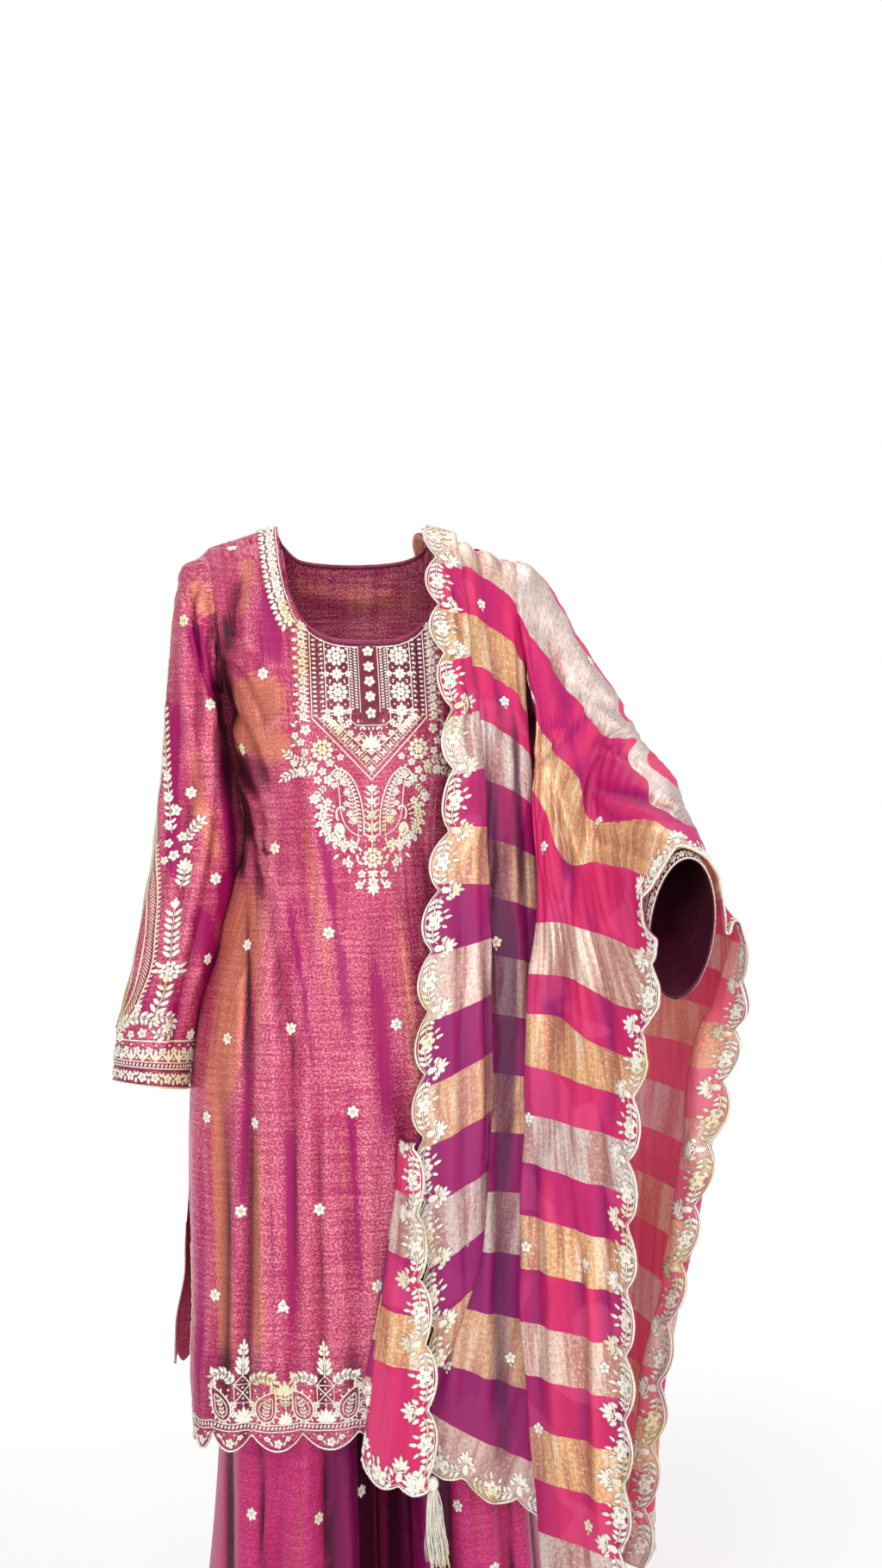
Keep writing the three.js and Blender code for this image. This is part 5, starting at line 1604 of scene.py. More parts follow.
# Each cloth's material, thickness and slot.
KAMEEZ_CLOTH = (KAMEEZ_TISSUE, SHELL, "kameez_tissue")
SHARARA_CLOTH = (SHARARA_TISSUE, SHELL, "sharara_tissue")
VEIL_CLOTH = (VEIL, VEIL_SHELL, "dupatta_veil")
BINDING_CLOTH = (BINDING, BINDING_SHELL, "binding")

for name, cloth, node in (("front_panel", front, "kameez_front"), ("back_panel", back, "kameez_back"),
                          ("right_sleeve", sleeve_right, "sleeve_right"),
                          ("left_sleeve", sleeve_left, "sleeve_left")):
    cloth_piece(name, cloth, KAMEEZ_CLOTH, [node])
for (hand_name, face_name), leg in legs.items():
    cloth_piece(f"{hand_name}_leg_{face_name}", leg, SHARARA_CLOTH, [f"sharara_{hand_name}_{face_name}"])
for face_name, casing in waistband.items():
    cloth_piece(f"waistband_{face_name}_cloth", casing, SHARARA_CLOTH, [f"sharara_waistband_{face_name}"])
for name, cloth in (("shoulder_pleat", pleat), ("turned_flap", flap), ("inner_layer", inner),
                    ("back_fall", back_fall)):
    cloth_piece(f"{name}_cloth", cloth, VEIL_CLOTH, [f"dupatta_{name}"])
cloth_piece("arm_drape_cloth", drape, VEIL_CLOTH,
            ["dupatta_arm_cover", "dupatta_front_fall", "dupatta_outer_fall"], VEIL_WRONG_SIDE)

# ---- Embroidery: the kameez --------------------------------------------------------------------------

def front_chart():
    """Places (x, z) of the kameez as it is seen from straight ahead, as (u, v) of its front panel."""
    columns = np.linspace(0, 1, front.points.shape[1])
    tops = panel_top(-1, (columns - 0.5) * pi)

    def chart(p):
        x, z = p[:, 0], p[:, 1]
        u = 0.5 + np.arcsin(clamp(x / half_width(z), -1, 1)) / pi
        return u, row_at((z - HEM) / (np.interp(u, columns, tops) - HEM))
    return chart


def row_at(share):
    """Where a share of the panel's height lies among its rows."""
    return 1 - (1 - clamp(share, 0, 1)) ** (1 / ROW_POWER)


YOKE = {"out": 62.0, "in": 46.5, "strip": 9.5, "foot": -220.0, "tip": -287.0, "inner_tip": -260.0}


def neck_border(pen):
    """Flowers packed between leaves, along the neckline from the shoulder to the yoke."""
    x = NECK["half"] * np.sin(np.linspace(pi / 2, 0.90, 90))
    path = np.stack([x + 4.6, neckline_at(x, NECK["front"]) - 1 - 4 * smooth(-x, -87, -70)], 1)
    edge, length = pen.bent(path)
    line = np.linspace(0, length, 60)
    edge.level(line, 0.0, 1.5, 0.9)
    for k, at in enumerate(np.arange(4, length - 2, 10.4)):
        edge.flower(at, 7.2, 6.4, 5, 30 * k)
        edge.dot(at + 5.2, 2.6, 1.6)
        edge.leaf(at + 5.2, 5.5, 90, 7.0, 3.6)
        edge.leaf(at + 2.2, 12.0, 62, 9.5, 4.4)
        edge.leaf(at - 2.2, 12.0, 118, 9.5, 4.4)
        edge.leaf(at, 13.5, 90, 7.0, 3.4)


def yoke_side(pen):
    """One half of the yoke: its floral edge, its double lines, its flower column and its chevron."""
    def top(x):
        return float(neckline_at(x, NECK["front"])) - 8

    out, inside, strip, foot = (YOKE[key] for key in ("out", "in", "strip", "foot"))
    for x in (out, inside, strip + 12.0, strip + 1.0):
        line = np.linspace(top(x), foot + (5 if x < 30 else 0), 30)
        pen.upright(x, line, 1.5, 0.9)
    # The rim between the neckline and the yoke's columns.
    rim = np.linspace(2, 72, 30)
    pen.cord(np.stack([rim, neckline_at(rim, NECK["front"]) - 7.0], 1), 1.7, 0.9)
    # Leaves and flowers outside the outer line.
    for k, z in enumerate(np.arange(top(70) - 2, foot - 8, -10.0)):
        pen.flower(out + 8.5, z, 5.4, 5, 25 * k)
        pen.leaf(out + 13, z + 2.5, 30, 7.5, 3.4)
        pen.leaf(out + 13, z - 3.5, -30, 7.5, 3.4)
        pen.leaf(out + 1.2, z - 5, 10, 7.5, 3.0)
        pen.dot(out + 3.2, z, 1.3)
        pen.dot(out + 12.5, z - 5.2, 1.2)
    # Two columns of small worked squares between the outer lines.
    for k, z in enumerate(np.arange(top(56) - 3, foot + 1, -5.2)):
        pen.leaf(out - 6.6, z, 6, 5.6, 3.2, 0.8)
        pen.dot(inside + 3.4, z, 1.8)
        if k % 2:
            pen.leaf(inside + 5.6, z - 2.6, 90, 4.0, 1.8, 0.8)
    # Large flowers in the wide column, with fans between them.
    middle = (inside + strip + 12.0) / 2
    heads = [top(middle) - 11, top(middle) - 51]
    for z in heads:
        pen.rosette(middle, z, 11.5)
        for side in (-1, 1):
            pen.dot(middle + side * 11.0, z + 7.5, 1.5)
            pen.dot(middle + side * 11.0, z - 7.5, 1.5)
            pen.dot(middle + side * 8, z + 10.8, 1.2)
    for z, size in ((heads[0] - 20, 1.0), (heads[1] - 20.5, 1.1)):
        for angle in (0, 90, 180, 270):
            pen.fan(middle, z, angle, 9.0 * size, 3, 76, 0.42)
        for side in (-1, 1):
            pen.dot(middle + side * 7.5, z + 7.0, 1.4)
            pen.dot(middle + side * 7.5, z - 7.0, 1.4)
            pen.flower(middle + side * 11.6, z, 3.9, 5, 10)
    for x, z in ((-10.5, -33), (-2, -30), (7.5, -32), (12.5, -27), (2.5, -37)):
        pen.flower(middle + x, heads[1] + z, 4.2, 5, 40 * x)
    pen.leaf(middle - 6, heads[1] - 36, 200, 6, 3)
    # Ladder stitches beside the placket.
    for z in np.arange(top(14) - 1, foot + 7, -3.1):
        pen.leaf(strip + 2.6, z, 20, 4.6, 2.3, 0.9)
        pen.leaf(strip + 7.2, z - 1.2, 20, 4.2, 2.1, 0.9)
    # The chevron: two double lines down to the tip, small crossed flowers between them.
    outer = curve((out, foot), (0, YOKE["tip"]), count=26)
    inner = curve((inside, foot + 3), (0, YOKE["inner_tip"]), count=26)
    pen.cord(outer, 2.0, 1.1)
    pen.cord(outer + (-3.6, 3.4), 1.2, 0.8)
    pen.cord(inner, 1.7, 1.0)
    pen.cord([(inside, foot + 3), (strip + 12, foot + 5)], 1.5, 0.9)
    between, length = pen.bent((outer + inner) / 2 + (-0.6, 2.0))
    for at in np.arange(5.5, length - 7, 10.4):
        for angle in (45, 135, 225, 315, 0, 180):
            between.leaf(at, 0, angle, 5.0 if angle % 180 else 3.4, 2.5, 0.9)
        between.cord([(at + 5.2, -6.5), (at + 5.2, -2), (at + 5.2, 2), (at + 5.2, 6.2)], 1.1, 0.8)
        between.dot(at + 5.2, 0, 1.3)
    # Flowers inside the chevron, beside the placket's motif.
    pen.flowers(9, (40, -226, 4.4), (30, -229, 4.2), (22, -237, 4.4), (33, -234, 3.4), (13, -242, 3.6))
    pen.dots(1.3, (45, -222), (27, -239), (17, -231), (9, -249), (36, -228))


def placket_foot(pen):
    """The motif inside the chevron's point, under the placket."""
    pen.fan(0, -252, 90, 17, 7, 150, 0.30)
    pen.fan(0, -253, 270, 8, 3, 90, 0.4)
    pen.dot(0, -236, 1.6)
    for side in (-1, 1):
        half = pen.moved(0, 0, mirror=side < 0)
        half.cord([(0, -228.5), (5, -228.5), (YOKE["strip"] + 6, -228.5), (YOKE["strip"] + 12, -223),
                   (YOKE["strip"] + 12, -215)], 1.6, 0.9)
        half.scroll(8, -243, -20, 9)
        half.leaf(5, -233, 30, 7, 3)
        half.leaf(14, -246, 50, 7, 3)
        half.leaf(7, -257, 60, 6, 2.8)
        half.dot(4.5, -262, 1.3)
        half.dot(10, -253, 1.3)
        half.leaf(1.5, -266, 55, 6, 2.6)
    for x in np.arange(-13.5, 14, 4.5):
        pen.leaf(x, -226.5, 90, 5.0, 2.6)
    for x in np.arange(-11.2, 12, 4.5):
        pen.leaf(x, -230, 270, 4.4, 2.4)
    pen.fan(0, -277, 90, 8, 3, 80, 0.4)


def pendant_side(pen):
    """Half of what hangs from the chevron: a rosette, sprays, and a large and a small paisley."""
    pen.rosette(52, -254, 12.5)
    pen.beads(52, -254, 14.6, 10, 1.3)
    pen.flowers(7, (69, -232, 6.2), (74, -245, 5.2), (70, -256, 5.0), (80, -238, 4.6), (62, -271, 6.0),
                (74, -276, 5.6), (52, -277, 5.2), (44, -268, 4.8), (46, -286, 6.0), (57, -286, 5.0),
                (33, -262, 4.4), (82, -268, 4.4), (40, -292, 4.2))
    pen.sprig(9, (66, -262), (72, -270), (82, -264), (90, -256), leaves=(4.6, 7.5, 3.2))
    pen.sprig(12, (58, -272), (68, -282), (80, -272), (93, -284), leaves=(4.6, 7.5, 3.2))
    pen.leaf(79, -229, 40, 8, 3.6)
    pen.leaf(79, -247, -20, 8, 3.6)
    # The large paisley: an outer outline that sweeps in to the stem, and rows of stitches inside it.
    outline = curve((9, -347), (7, -322), (10, -296), (22, -266), (44, -264), (45, -290), count=40)
    pen.cord(outline, 2.1, 1.2)
    pen.cord(outline * (0.86, 1) + (7.2, -3.5), 1.2, 0.9)
    edge, length = pen.bent(outline)
    for at in np.arange(5, length - 3, 4.6):
        edge.leaf(at, -1.6, -66, 5.6, 2.6)
    belly = curve((12, -347), (34, -342), (37, -318), (30, -296), (40, -280), count=28)
    pen.cord(belly, 1.6, 1.0)
    pen.sprig(22, (21, -336), (17, -312), (23, -290), (36, -274), leaves=(4.2, 6.0, 2.8, 52))
    for at, (x, z) in enumerate(((27, -300), (31, -289), (27, -312), (24, -323), (36, -283), (19, -329))):
        pen.flower(x, z, 3.9, 5, 40 * at)
    # The small paisley, worked solid, with a curled head.
    body = curve((29, -347), (42, -350), (45, -332), (32, -326), (28, -338), (32, -346), count=20)
    pen.cord(body, 3.6, 1.7)
    pen.leaf(30, -345, 60, 15, 8.5, 1.8)
    pen.cord(curve((36, -330), (40, -322), (38, -313), (30, -313), (29, -319), count=14), 2.6, 1.5)
    pen.dot(30, -318, 1.9, 1.5)
    for at in range(6):
        pen.leaf(43.5 - 1.0 * at, -338 + 4.4 * at, -24 + 12 * at, 5.8, 2.8)
    # Flowers and leaves round the outside.
    rim = curve((45, -308), (58, -320), (56, -350), (34, -360), (12, -356), count=34)
    edge, length = pen.bent(rim)
    for k, at in enumerate(np.arange(3, length, 8.4)):
        edge.flower(at, 0, 5.4, 5, 33 * k)
        edge.leaf(at + 4.2, 2, 66, 7.5, 3.4)
        edge.leaf(at + 4.2, -2, -66, 6.5, 3.2)
        edge.leaf(at, 4.5, 95, 5.5, 2.6)
    pen.flower(60, -306, 6.6, 6)
    pen.sprig(6, (48, -292), (54, -297), (58, -302), leaves=(4, 5.5, 2.6))
    for x, z, angle in ((24, -367, -60), (30, -370, -80), (36, -366, -45), (17, -366, -100)):
        pen.leaf(x, z, angle, 9, 3.8)
    pen.flower(25, -377, 5.0, 5)
    pen.leaf(25, -381, -90, 7, 3.2)
    # Beside the stem.
    for z in np.arange(-297, -354, -6.6):
        pen.leaf(1.5, z, 42, 7.0, 3.2)
        pen.dot(7.2, z - 2.4, 1.3)


def pendant_middle(pen):
    pen.cord([(0, -292), (0, -318), (0, -350), (0, -362)], 1.8, 1.0)
    for z in (-296, -310, -324, -338, -350):
        pen.flower(0, z, 5.0, 6)
    pen.rosette(0, -371, 12.0)
    pen.beads(0, -371, 14, 9, 1.4)
    for side in (-1, 1):
        pen.flower(side * 12, -388, 5.0, 5)
        pen.flower(side * 15, -400, 5.4, 5)
        pen.leaf(side * 8, -393, 90 - side * 150, 8, 3.8)
        pen.leaf(side * 10, -378, 90 - side * 60, 8, 3.6)
    pen.flower(0, -397, 6.6, 6)
    pen.fan(0, -386, 270, 9, 5, 170, 0.42)
    pen.fan(0, -402, 270, 11, 5, 150, 0.42)


def hem_repeat(pen):
    """One repeat of the hem: a trellis with a tall leafy finial, paisleys beside it, a palmette between."""
    for corners in (((-9, 62), (9, 62), (9, 44), (-9, 44), (-9, 62)), ((-9, 44), (0, 53), (9, 62)),
                    ((-9, 62), (0, 53), (9, 44)), ((-9, 62), (0, 72), (9, 62))):
        pen.cord(corners, 1.6, 1.0)
    pen.dots(1.5, (-5, 53), (5, 53), (0, 58.5), (0, 47.5), (0, 66))
    # The finial: two tiers of leaves and a bud.
    for z, long, lean in ((72, 12, 40), (77, 13, 32), (82, 10, 26), (92, 8.5, 38), (97, 7.5, 26)):
        for side in (-1, 1):
            pen.leaf(side * 1.0, z, 90 - side * lean, long, 4.8)
    pen.cord([(0, 70), (0, 84), (0, 102)], 1.6, 1.0)
    pen.leaf(0, 84, 90, 9, 3.6)
    pen.leaf(0, 100, 90, 9, 3.8)
    for side in (-1, 1):
        pen.dot(side * 5.5, 89.5, 1.3)
    # Below the trellis a lotus on the band.
    pen.fan(0, 25, 90, 16, 7, 150, 0.34)
    pen.dot(0, 42, 1.6)
    for half in pen.halves():
        half.paisley(22.5, 26, -7, 38)
        half.sprig(9, (10, 62), (14, 72), (24, 76), (33, 69), leaves=(4.8, 9, 4.4))
        half.leaf(32, 70, 55, 10, 4.8)
        half.leaf(34, 66, 10, 8, 4.2)
        half.flowers(8, (10.5, 33, 4.2), (10, 42, 3.8))
        half.dots(1.6, (15, 57), (36, 41), (38, 57), (32, 62), (9, 27))
    far = pen.moved(45.5, 0)
    far.fan(0, 25, 90, 14, 7, 160, 0.34)
    far.cord([(0, 39), (0, 48), (0, 56)], 1.7, 0.9)
    far.fan(0, 54, 90, 16, 7, 150, 0.32)
    for side in (-1, 1):
        far.moved(0, 0, mirror=side < 0).scroll(1, 43, -10, 8.5, wide=1.8)
        far.leaf(side * 1, 49, 90 - side * 60, 8, 3.8)


def hem_work(cloth, work, face):
    """The kameez's hem: repeats above a band of two lines, and small flowers in the scallops."""
    base = np.linspace(0, 1, cloth.across.shape[1])
    length = cloth.across[16]
    total = length[-1]
    reach = HEM_SCALLOP["reach"]

    def chart(p):
        """Lengths along the hem and heights above its lowest points; only the edge itself is scalloped."""
        u = np.interp(p[:, 0] + total / 2, length, base)
        turn = (u - 0.5) * pi
        dip = HEM_SCALLOP["deep"] * hem_dip(turn)
        follows = 1 - 0.85 * smooth(p[:, 1], 1.5, 19)
        above = (p[:, 1] + dip * follows - dip) / (1 - dip / reach)
        above = np.where(p[:, 1] > reach, p[:, 1], above)
        return u, row_at(above / (panel_top(face, turn) - HEM))

    def draw(pen):
        line = np.arange(-total / 2 + 1, total / 2, 2.4)
        for y, wide, high in ((0.8, 2.8, 1.4), (20.5, 1.6, 1.0), (27.5, 1.6, 1.0)):
            pen.level(line, y, wide, high)
        for x in np.arange(-total / 2 + 4, total / 2 - 3, 4.2):
            pen.leaf(x, 22.0, 62, 5.4, 2.6, 0.9)
        # Small flowers and leaves in each scallop, whose middle is half a pitch from the cusps.
        for x in scallop_middles():
            for off, y, r in ((0, 8.5, 5.4), (-11.5, 12.5, 4.2), (11.5, 12.5, 4.2)):
                pen.flower(x + off, y, r, 5, 11 * off)
            for off in (-18, -6, 6, 18):
                pen.dot(x + off, 16.6, 1.3)
            for off in (-5.8, 5.8):
                pen.leaf(x + off, 5.5, 90 - off * 4, 6.0, 2.8)
        for x in (-153, -62, 29, 120):
            hem_repeat(pen.moved(x, 4))
        for side in (-1, 1):
            pen.upright(side * (total / 2 - 4), np.linspace(3, 190, 50), 1.4, 0.9)

    def scallop_middles():
        turns = (np.arange(-8, 9) * HEM_SCALLOP["pitch"]) / HEM_SCALLOP["round"]
        inside = turns[np.abs(turns) < pi / 2 - 0.1]
        return np.interp(inside / pi + 0.5, base, length) - total / 2

    work.sew(chart, draw)


def yoke(pen):
    for half in pen.halves():
        neck_border(half)
        yoke_side(half)
        pendant_side(half)
    placket_foot(pen)
    pendant_middle(pen)


front_work = Needlework(front)
front_work.sew(front_chart(), yoke)
hem_work(front, front_work, face=-1)
FRONT_FLOWERS = [
    (-141, -22), (-112, -168), (-135, -251), (-103, -361), (-135, -463), (-48, -450), (-159, -562),
    (-92, -552), (18, -547), (-181, -651), (-131, -651), (-28, -638), (-150, -743), (-66, -739),
    (-177, -832), (-108, -833), (-9, -817), (60, -460), (70, -640), (60, -730), (110, -560), (130, -690),
    (90, -820), (140, -800), (120, -440), (120, -180), (128, -280), (40, -760),
]
front_work.scatter(FRONT_FLOWERS, small_flower)
front_work.finish("front_embroidery", THREAD)

back_work = Needlework(back)
hem_work(back, back_work, face=1)
back_work.scatter([(x + 38 * (row % 2), z) for row, z in enumerate(range(-90, -880, -96))
                   for x in (-150, -74, 2, 78)], small_flower, front=False)
back_work.finish("back_embroidery", THREAD)


# ---- Embroidery: the sleeves -------------------------------------------------------------------------

CUFF = 46                      # height of the cuff's worked band


def cuff_band(pen, around):
    """Two rows of flowers and leaves between lines, with a row of ladder stitches, round the wrist."""
    line = np.arange(-around / 2, around / 2 + 1, 2.6)
    for y, wide in ((1.0, 2.6), (19.0, 1.7), (25.0, 1.7), (CUFF, 2.2)):
        pen.level(line, y, wide, 1.0)
    for k, x in enumerate(np.arange(-around / 2 + 6, around / 2 - 3, 13.6)):
        pen.flower(x, 9.6, 5.6, 5, 20 * k)
        pen.leaf(x + 6.8, 3.0, 90, 7.0, 3.6)
        pen.leaf(x + 6.8, 10.5, 62, 6.0, 3.0)
        pen.leaf(x + 6.8, 10.5, 118, 6.0, 3.0)
        pen.fan(x, 27, 90, 12, 3, 90, 0.38)
        pen.flower(x + 6.8, 36.0, 4.8, 5, 30 * k)
        pen.dot(x, 42, 1.5)
        pen.dot(x + 6.8, 28.5, 1.6)
    for x in np.arange(-around / 2, around / 2, 4.4):
        pen.leaf(x, 19.8, 58, 5.0, 2.8, 0.9)


def sleeve_arch(pen):
    """A tall arch of braid up the sleeve's outer side, narrowing to a point above."""
    bow = curve((6, 6), (50, 22), (52, 104), (22, 190), (6, 292), count=64)
    for half in pen.halves(CUFF):
        half.braid(bow, 6.2, 3.8, 2.3, 4.4)
        half.braid(bow * (0.42, 0.84) + (0, 14), 3.4, 3.6, 1.8)
        edge, length = half.bent(bow)
        for at in np.arange(6, length * 0.75, 5.4):
            edge.leaf(at, -6.4, -62, 5.4, 2.8)
        for y in np.arange(296, 420, 11.0):
            half.leaf(2.5, y, 50, 9, 4.0)
            half.leaf(3.5, y + 5, 20, 7, 3.4)
        half.cord(curve((2, 292), (4, 350), (4, 430), count=30), 1.8, 0.9)


def sleeve_spray(pen):
    """Beside the arch: a scroll, then flowering stems with broad leaves that climb the sleeve."""
    for half in pen.halves(CUFF):
        half.sprig(12, (8, 10), (30, 22), (50, 30), (62, 20), leaves=(6.4, 10, 5.2))
        half.sprig(16, (62, 22), (84, 36), (94, 14), (80, 0), (68, 8), leaves=(5.2, 8.0, 4.2, 60))
        half.flower(77, 15, 6.0, 5)
        half.flowers(9, (22, 2, 6.0), (38, 6, 5.4), (52, 8, 6.0), (42, 36, 5.6))
        half.sprig(9, (60, 26), (68, 44), (66, 62), leaves=(8.5, 13, 5.8))
        half.rosette(67, 76, 12.5)
        for angle in (30, 150, 0, 180):
            c, s = cos(radians(angle)), sin(radians(angle))
            half.leaf(67 + 9 * c, 76 + 8 * s, angle, 13, 5.6)
        half.sprig(16, (66, 88), (62, 116), (60, 146), leaves=(7.6, 13, 5.6, 50))
        half.fan(60, 146, 90, 13, 3, 60, 0.42)
        half.sprig(9, (62, 168), (66, 180), (64, 192), leaves=(6.6, 12, 5.4, 52))
        half.fan(64, 190, 90, 15, 5, 120, 0.36)
        half.flowers(7, (50, 206, 7.0), (64, 214, 7.0), (56, 228, 6.4), (42, 220, 6.0), (40, 200, 5.6))
        half.sprig(7, (60, 222), (68, 238), (76, 246), leaves=(6.0, 10, 4.8))
        half.flowers(5, (38, 242, 6.2), (46, 258, 7.0), (34, 272, 6.0), (30, 296, 6.0), (22, 312, 6.0))
        half.sprig(20, (44, 232), (38, 260), (30, 286), (25, 330), (20, 372), leaves=(8.0, 9.5, 4.4))


def sleeve_work(cloth, name, flowers, arch=True):
    chart = sleeve_chart(cloth)
    white = Needlework(cloth)
    white.sew(chart, lambda pen: cuff_band(pen, chart.length))
    if arch:
        white.sew(chart, sleeve_spray)
        gilt = Needlework(cloth)
        gilt.sew(chart, sleeve_arch)
        gilt.finish(name + "_braid", GILT)
    white.scatter(flowers, small_flower)
    white.finish(name + "_embroidery", THREAD)


sleeve_work(sleeve_right, "right_sleeve",
            [(-195, -108), (-192, -297), (-167, -394), (-178, -480), (-198, -565), (-170, -200)])
sleeve_work(sleeve_left, "left_sleeve", [(200, -150)], arch=False)

# ---- Embroidery: the sharara and the dupatta ---------------------------------------------------------

LEG_FLOWERS = [(151, -986), (67, -986), (36, -993), (142, -1066), (74, -1066), (26, -1063), (110, -1130),
               (52, -1150), (160, -1180), (96, -1230), (40, -1250), (150, -1300), (190, -1250), (80, -1330),
               (140, -1390), (60, -1410), (200, -1380)]


def leg_border(cloth, work):
    """The sharara's hem: a corded edge, a band of two lines and a row of palmettes and flowers."""
    chart = edge_chart(cloth, "first")
    around = chart.length

    def draw(pen):
        line = np.arange(0, around, 3.2)
        for y, wide in ((1.2, 2.4), (16, 1.4), (24, 1.4)):
            pen.level(line, y, wide, 0.9)
        for k, x in enumerate(np.arange(7, around - 4, 13.0)):
            pen.flower(x, 8.6, 4.6, 5, 25 * k)
            pen.dot(x + 6.5, 8.6, 1.2)
            pen.leaf(x, 17.5, 70, 6, 2.4)
            pen.leaf(x + 6.5, 17.5, 70, 6, 2.4)
        for k, x in enumerate(np.arange(14, around - 10, 26.0)):
            pen.fan(x, 28, 90, 17 if k % 2 else 13, 5, 130, 0.28)

    work.sew(chart, draw)


for (hand_name, face_name), leg in legs.items():
    leg_work = Needlework(leg)
    leg_border(leg, leg_work)
    places = [(HANDS[hand_name] * x, z) for x, z in LEG_FLOWERS]
    leg_work.scatter(places, small_flower, face_name == "front")
    leg_work.finish(f"{hand_name}_leg_{face_name}_embroidery", THREAD)

# The ruffle of the outer fall turns the wrong side of its edge forward, where the same stitches show.
underside = Cloth(drape.points - drape.normals * VEIL_SHELL, 1)
underside.across, underside.down = drape.across, drape.down
underside.cuts = [(*drape.cuts[0], drape.across[-1, RUFFLE["worked"]])]

# Each stretch, and the places of its small flowers on the front and on the back.
for name, cloth, on_front, on_back in (
    ("shoulder_pleat", pleat, [], []),
    ("turned_flap", flap, [], []),
    ("inner_layer", inner, [(128, -464), (150, -205), (134, -92), (65, -626), (100, -760), (60, -900),
                            (130, -900)], []),
    ("back_fall", back_fall, [], [(130 + 40 * (k % 2), -120 - 110 * k) for k in range(9)]),
    ("arm_drape", drape, [(265, -158), (182, -363), (241, -337), (149, -645), (141, -775), (192, -780),
                          (172, -205), (205, -881), (150, -960), (190, -1040)],
     [(300, -260), (320, -420), (280, -560), (300, -700), (262, -860), (280, -980)]),
    ("outer_fall", underside, [], []),
):
    work = Needlework(cloth)
    for cut in cloth.cuts:
        work.sew_edge(*cut)
    work.scatter(on_front, veil_flower)
    work.scatter(on_back, veil_flower, front=False)
    work.finish(f"{name}_embroidery", THREAD)

# ---- Neck binding, placket, buttons and tassel -------------------------------------------------------

# How far above the neckline's edge and how far outside the panel each line of the binding lies.
BINDING_SECTION = [(-3.6, 0.4), (-3.0, 1.3), (-1.4, 1.8), (0.4, 1.5), (1.2, 0.2), (0.6, -1.2), (-1.5, -1.9),
                   (-4.0, -1.6)]


def neck_binding(panel, node):
    """A folded strip over the neckline's edge: outside it, over it and back inside."""
    u = np.linspace(0, 1, 801)
    edge, _ = panel.at(u, np.ones(801))
    kept = u[np.abs(edge[:, 0]) < NECK["half"] - 0.3]
    u = np.linspace(kept[0], kept[-1], 120)
    edge, normal = panel.at(u, np.ones(120))
    below, _ = panel.at(u, np.full(120, 0.985))
    upward = unit(edge - below)
    evened = [np.convolve(np.pad(line, 4, "edge"), np.full(9, 1 / 9), "valid") for line in upward.T]
    upward = np.stack(evened, 1)
    rows = [edge + upward * up + normal * out for up, out in BINDING_SECTION]
    strip = Cloth(np.stack(rows[::-1], 0), -panel.side)
    if (strip.normals * normal).sum() < 0:
        strip = Cloth(strip.points, panel.side)
    cloth_piece(f"{node}_silk", strip, BINDING_CLOTH, [node])


neck_binding(front, "neck_binding_front")
neck_binding(back, "neck_binding_back")

PLACKET_BUTTONS = [f"placket_button_{number}" for number in range(1, 6)]
for node_name in ["placket_strip", *PLACKET_BUTTONS]:
    for material_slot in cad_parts[node_name].material_slots:
        material_slot.material = PLACKET

# A flower worked on each covered button.
trim = Needlework(front)
for number, node_name in enumerate(PLACKET_BUTTONS):
    low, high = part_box(node_name)
    middle = (low.z + high.z) / 2 / MM
    place = spot_chart(front, *front.nearest(0, middle))
    seat = -front.at(*place(np.zeros((1, 2))))[0][0, 1]
    proud = -low.y / MM - seat - 1.0
    trim.sew(place, lambda pen: pen.flower(0, 0, 6.6, 5 + number % 2, 18 + 20 * number, 1.2), proud)
trim.finish("placket_flowers", THREAD)


# The tassel's place, its head's length and radius, the turns wound on it, where its threads start below
# its top, the radius of their ends, their reach and their number.
TASSEL = {"top": (38.5, -199.3, -1000), "head": 17, "neck": 7, "turns": 13, "root": 13, "skirt": 12,
          "long": 92, "threads": 110}


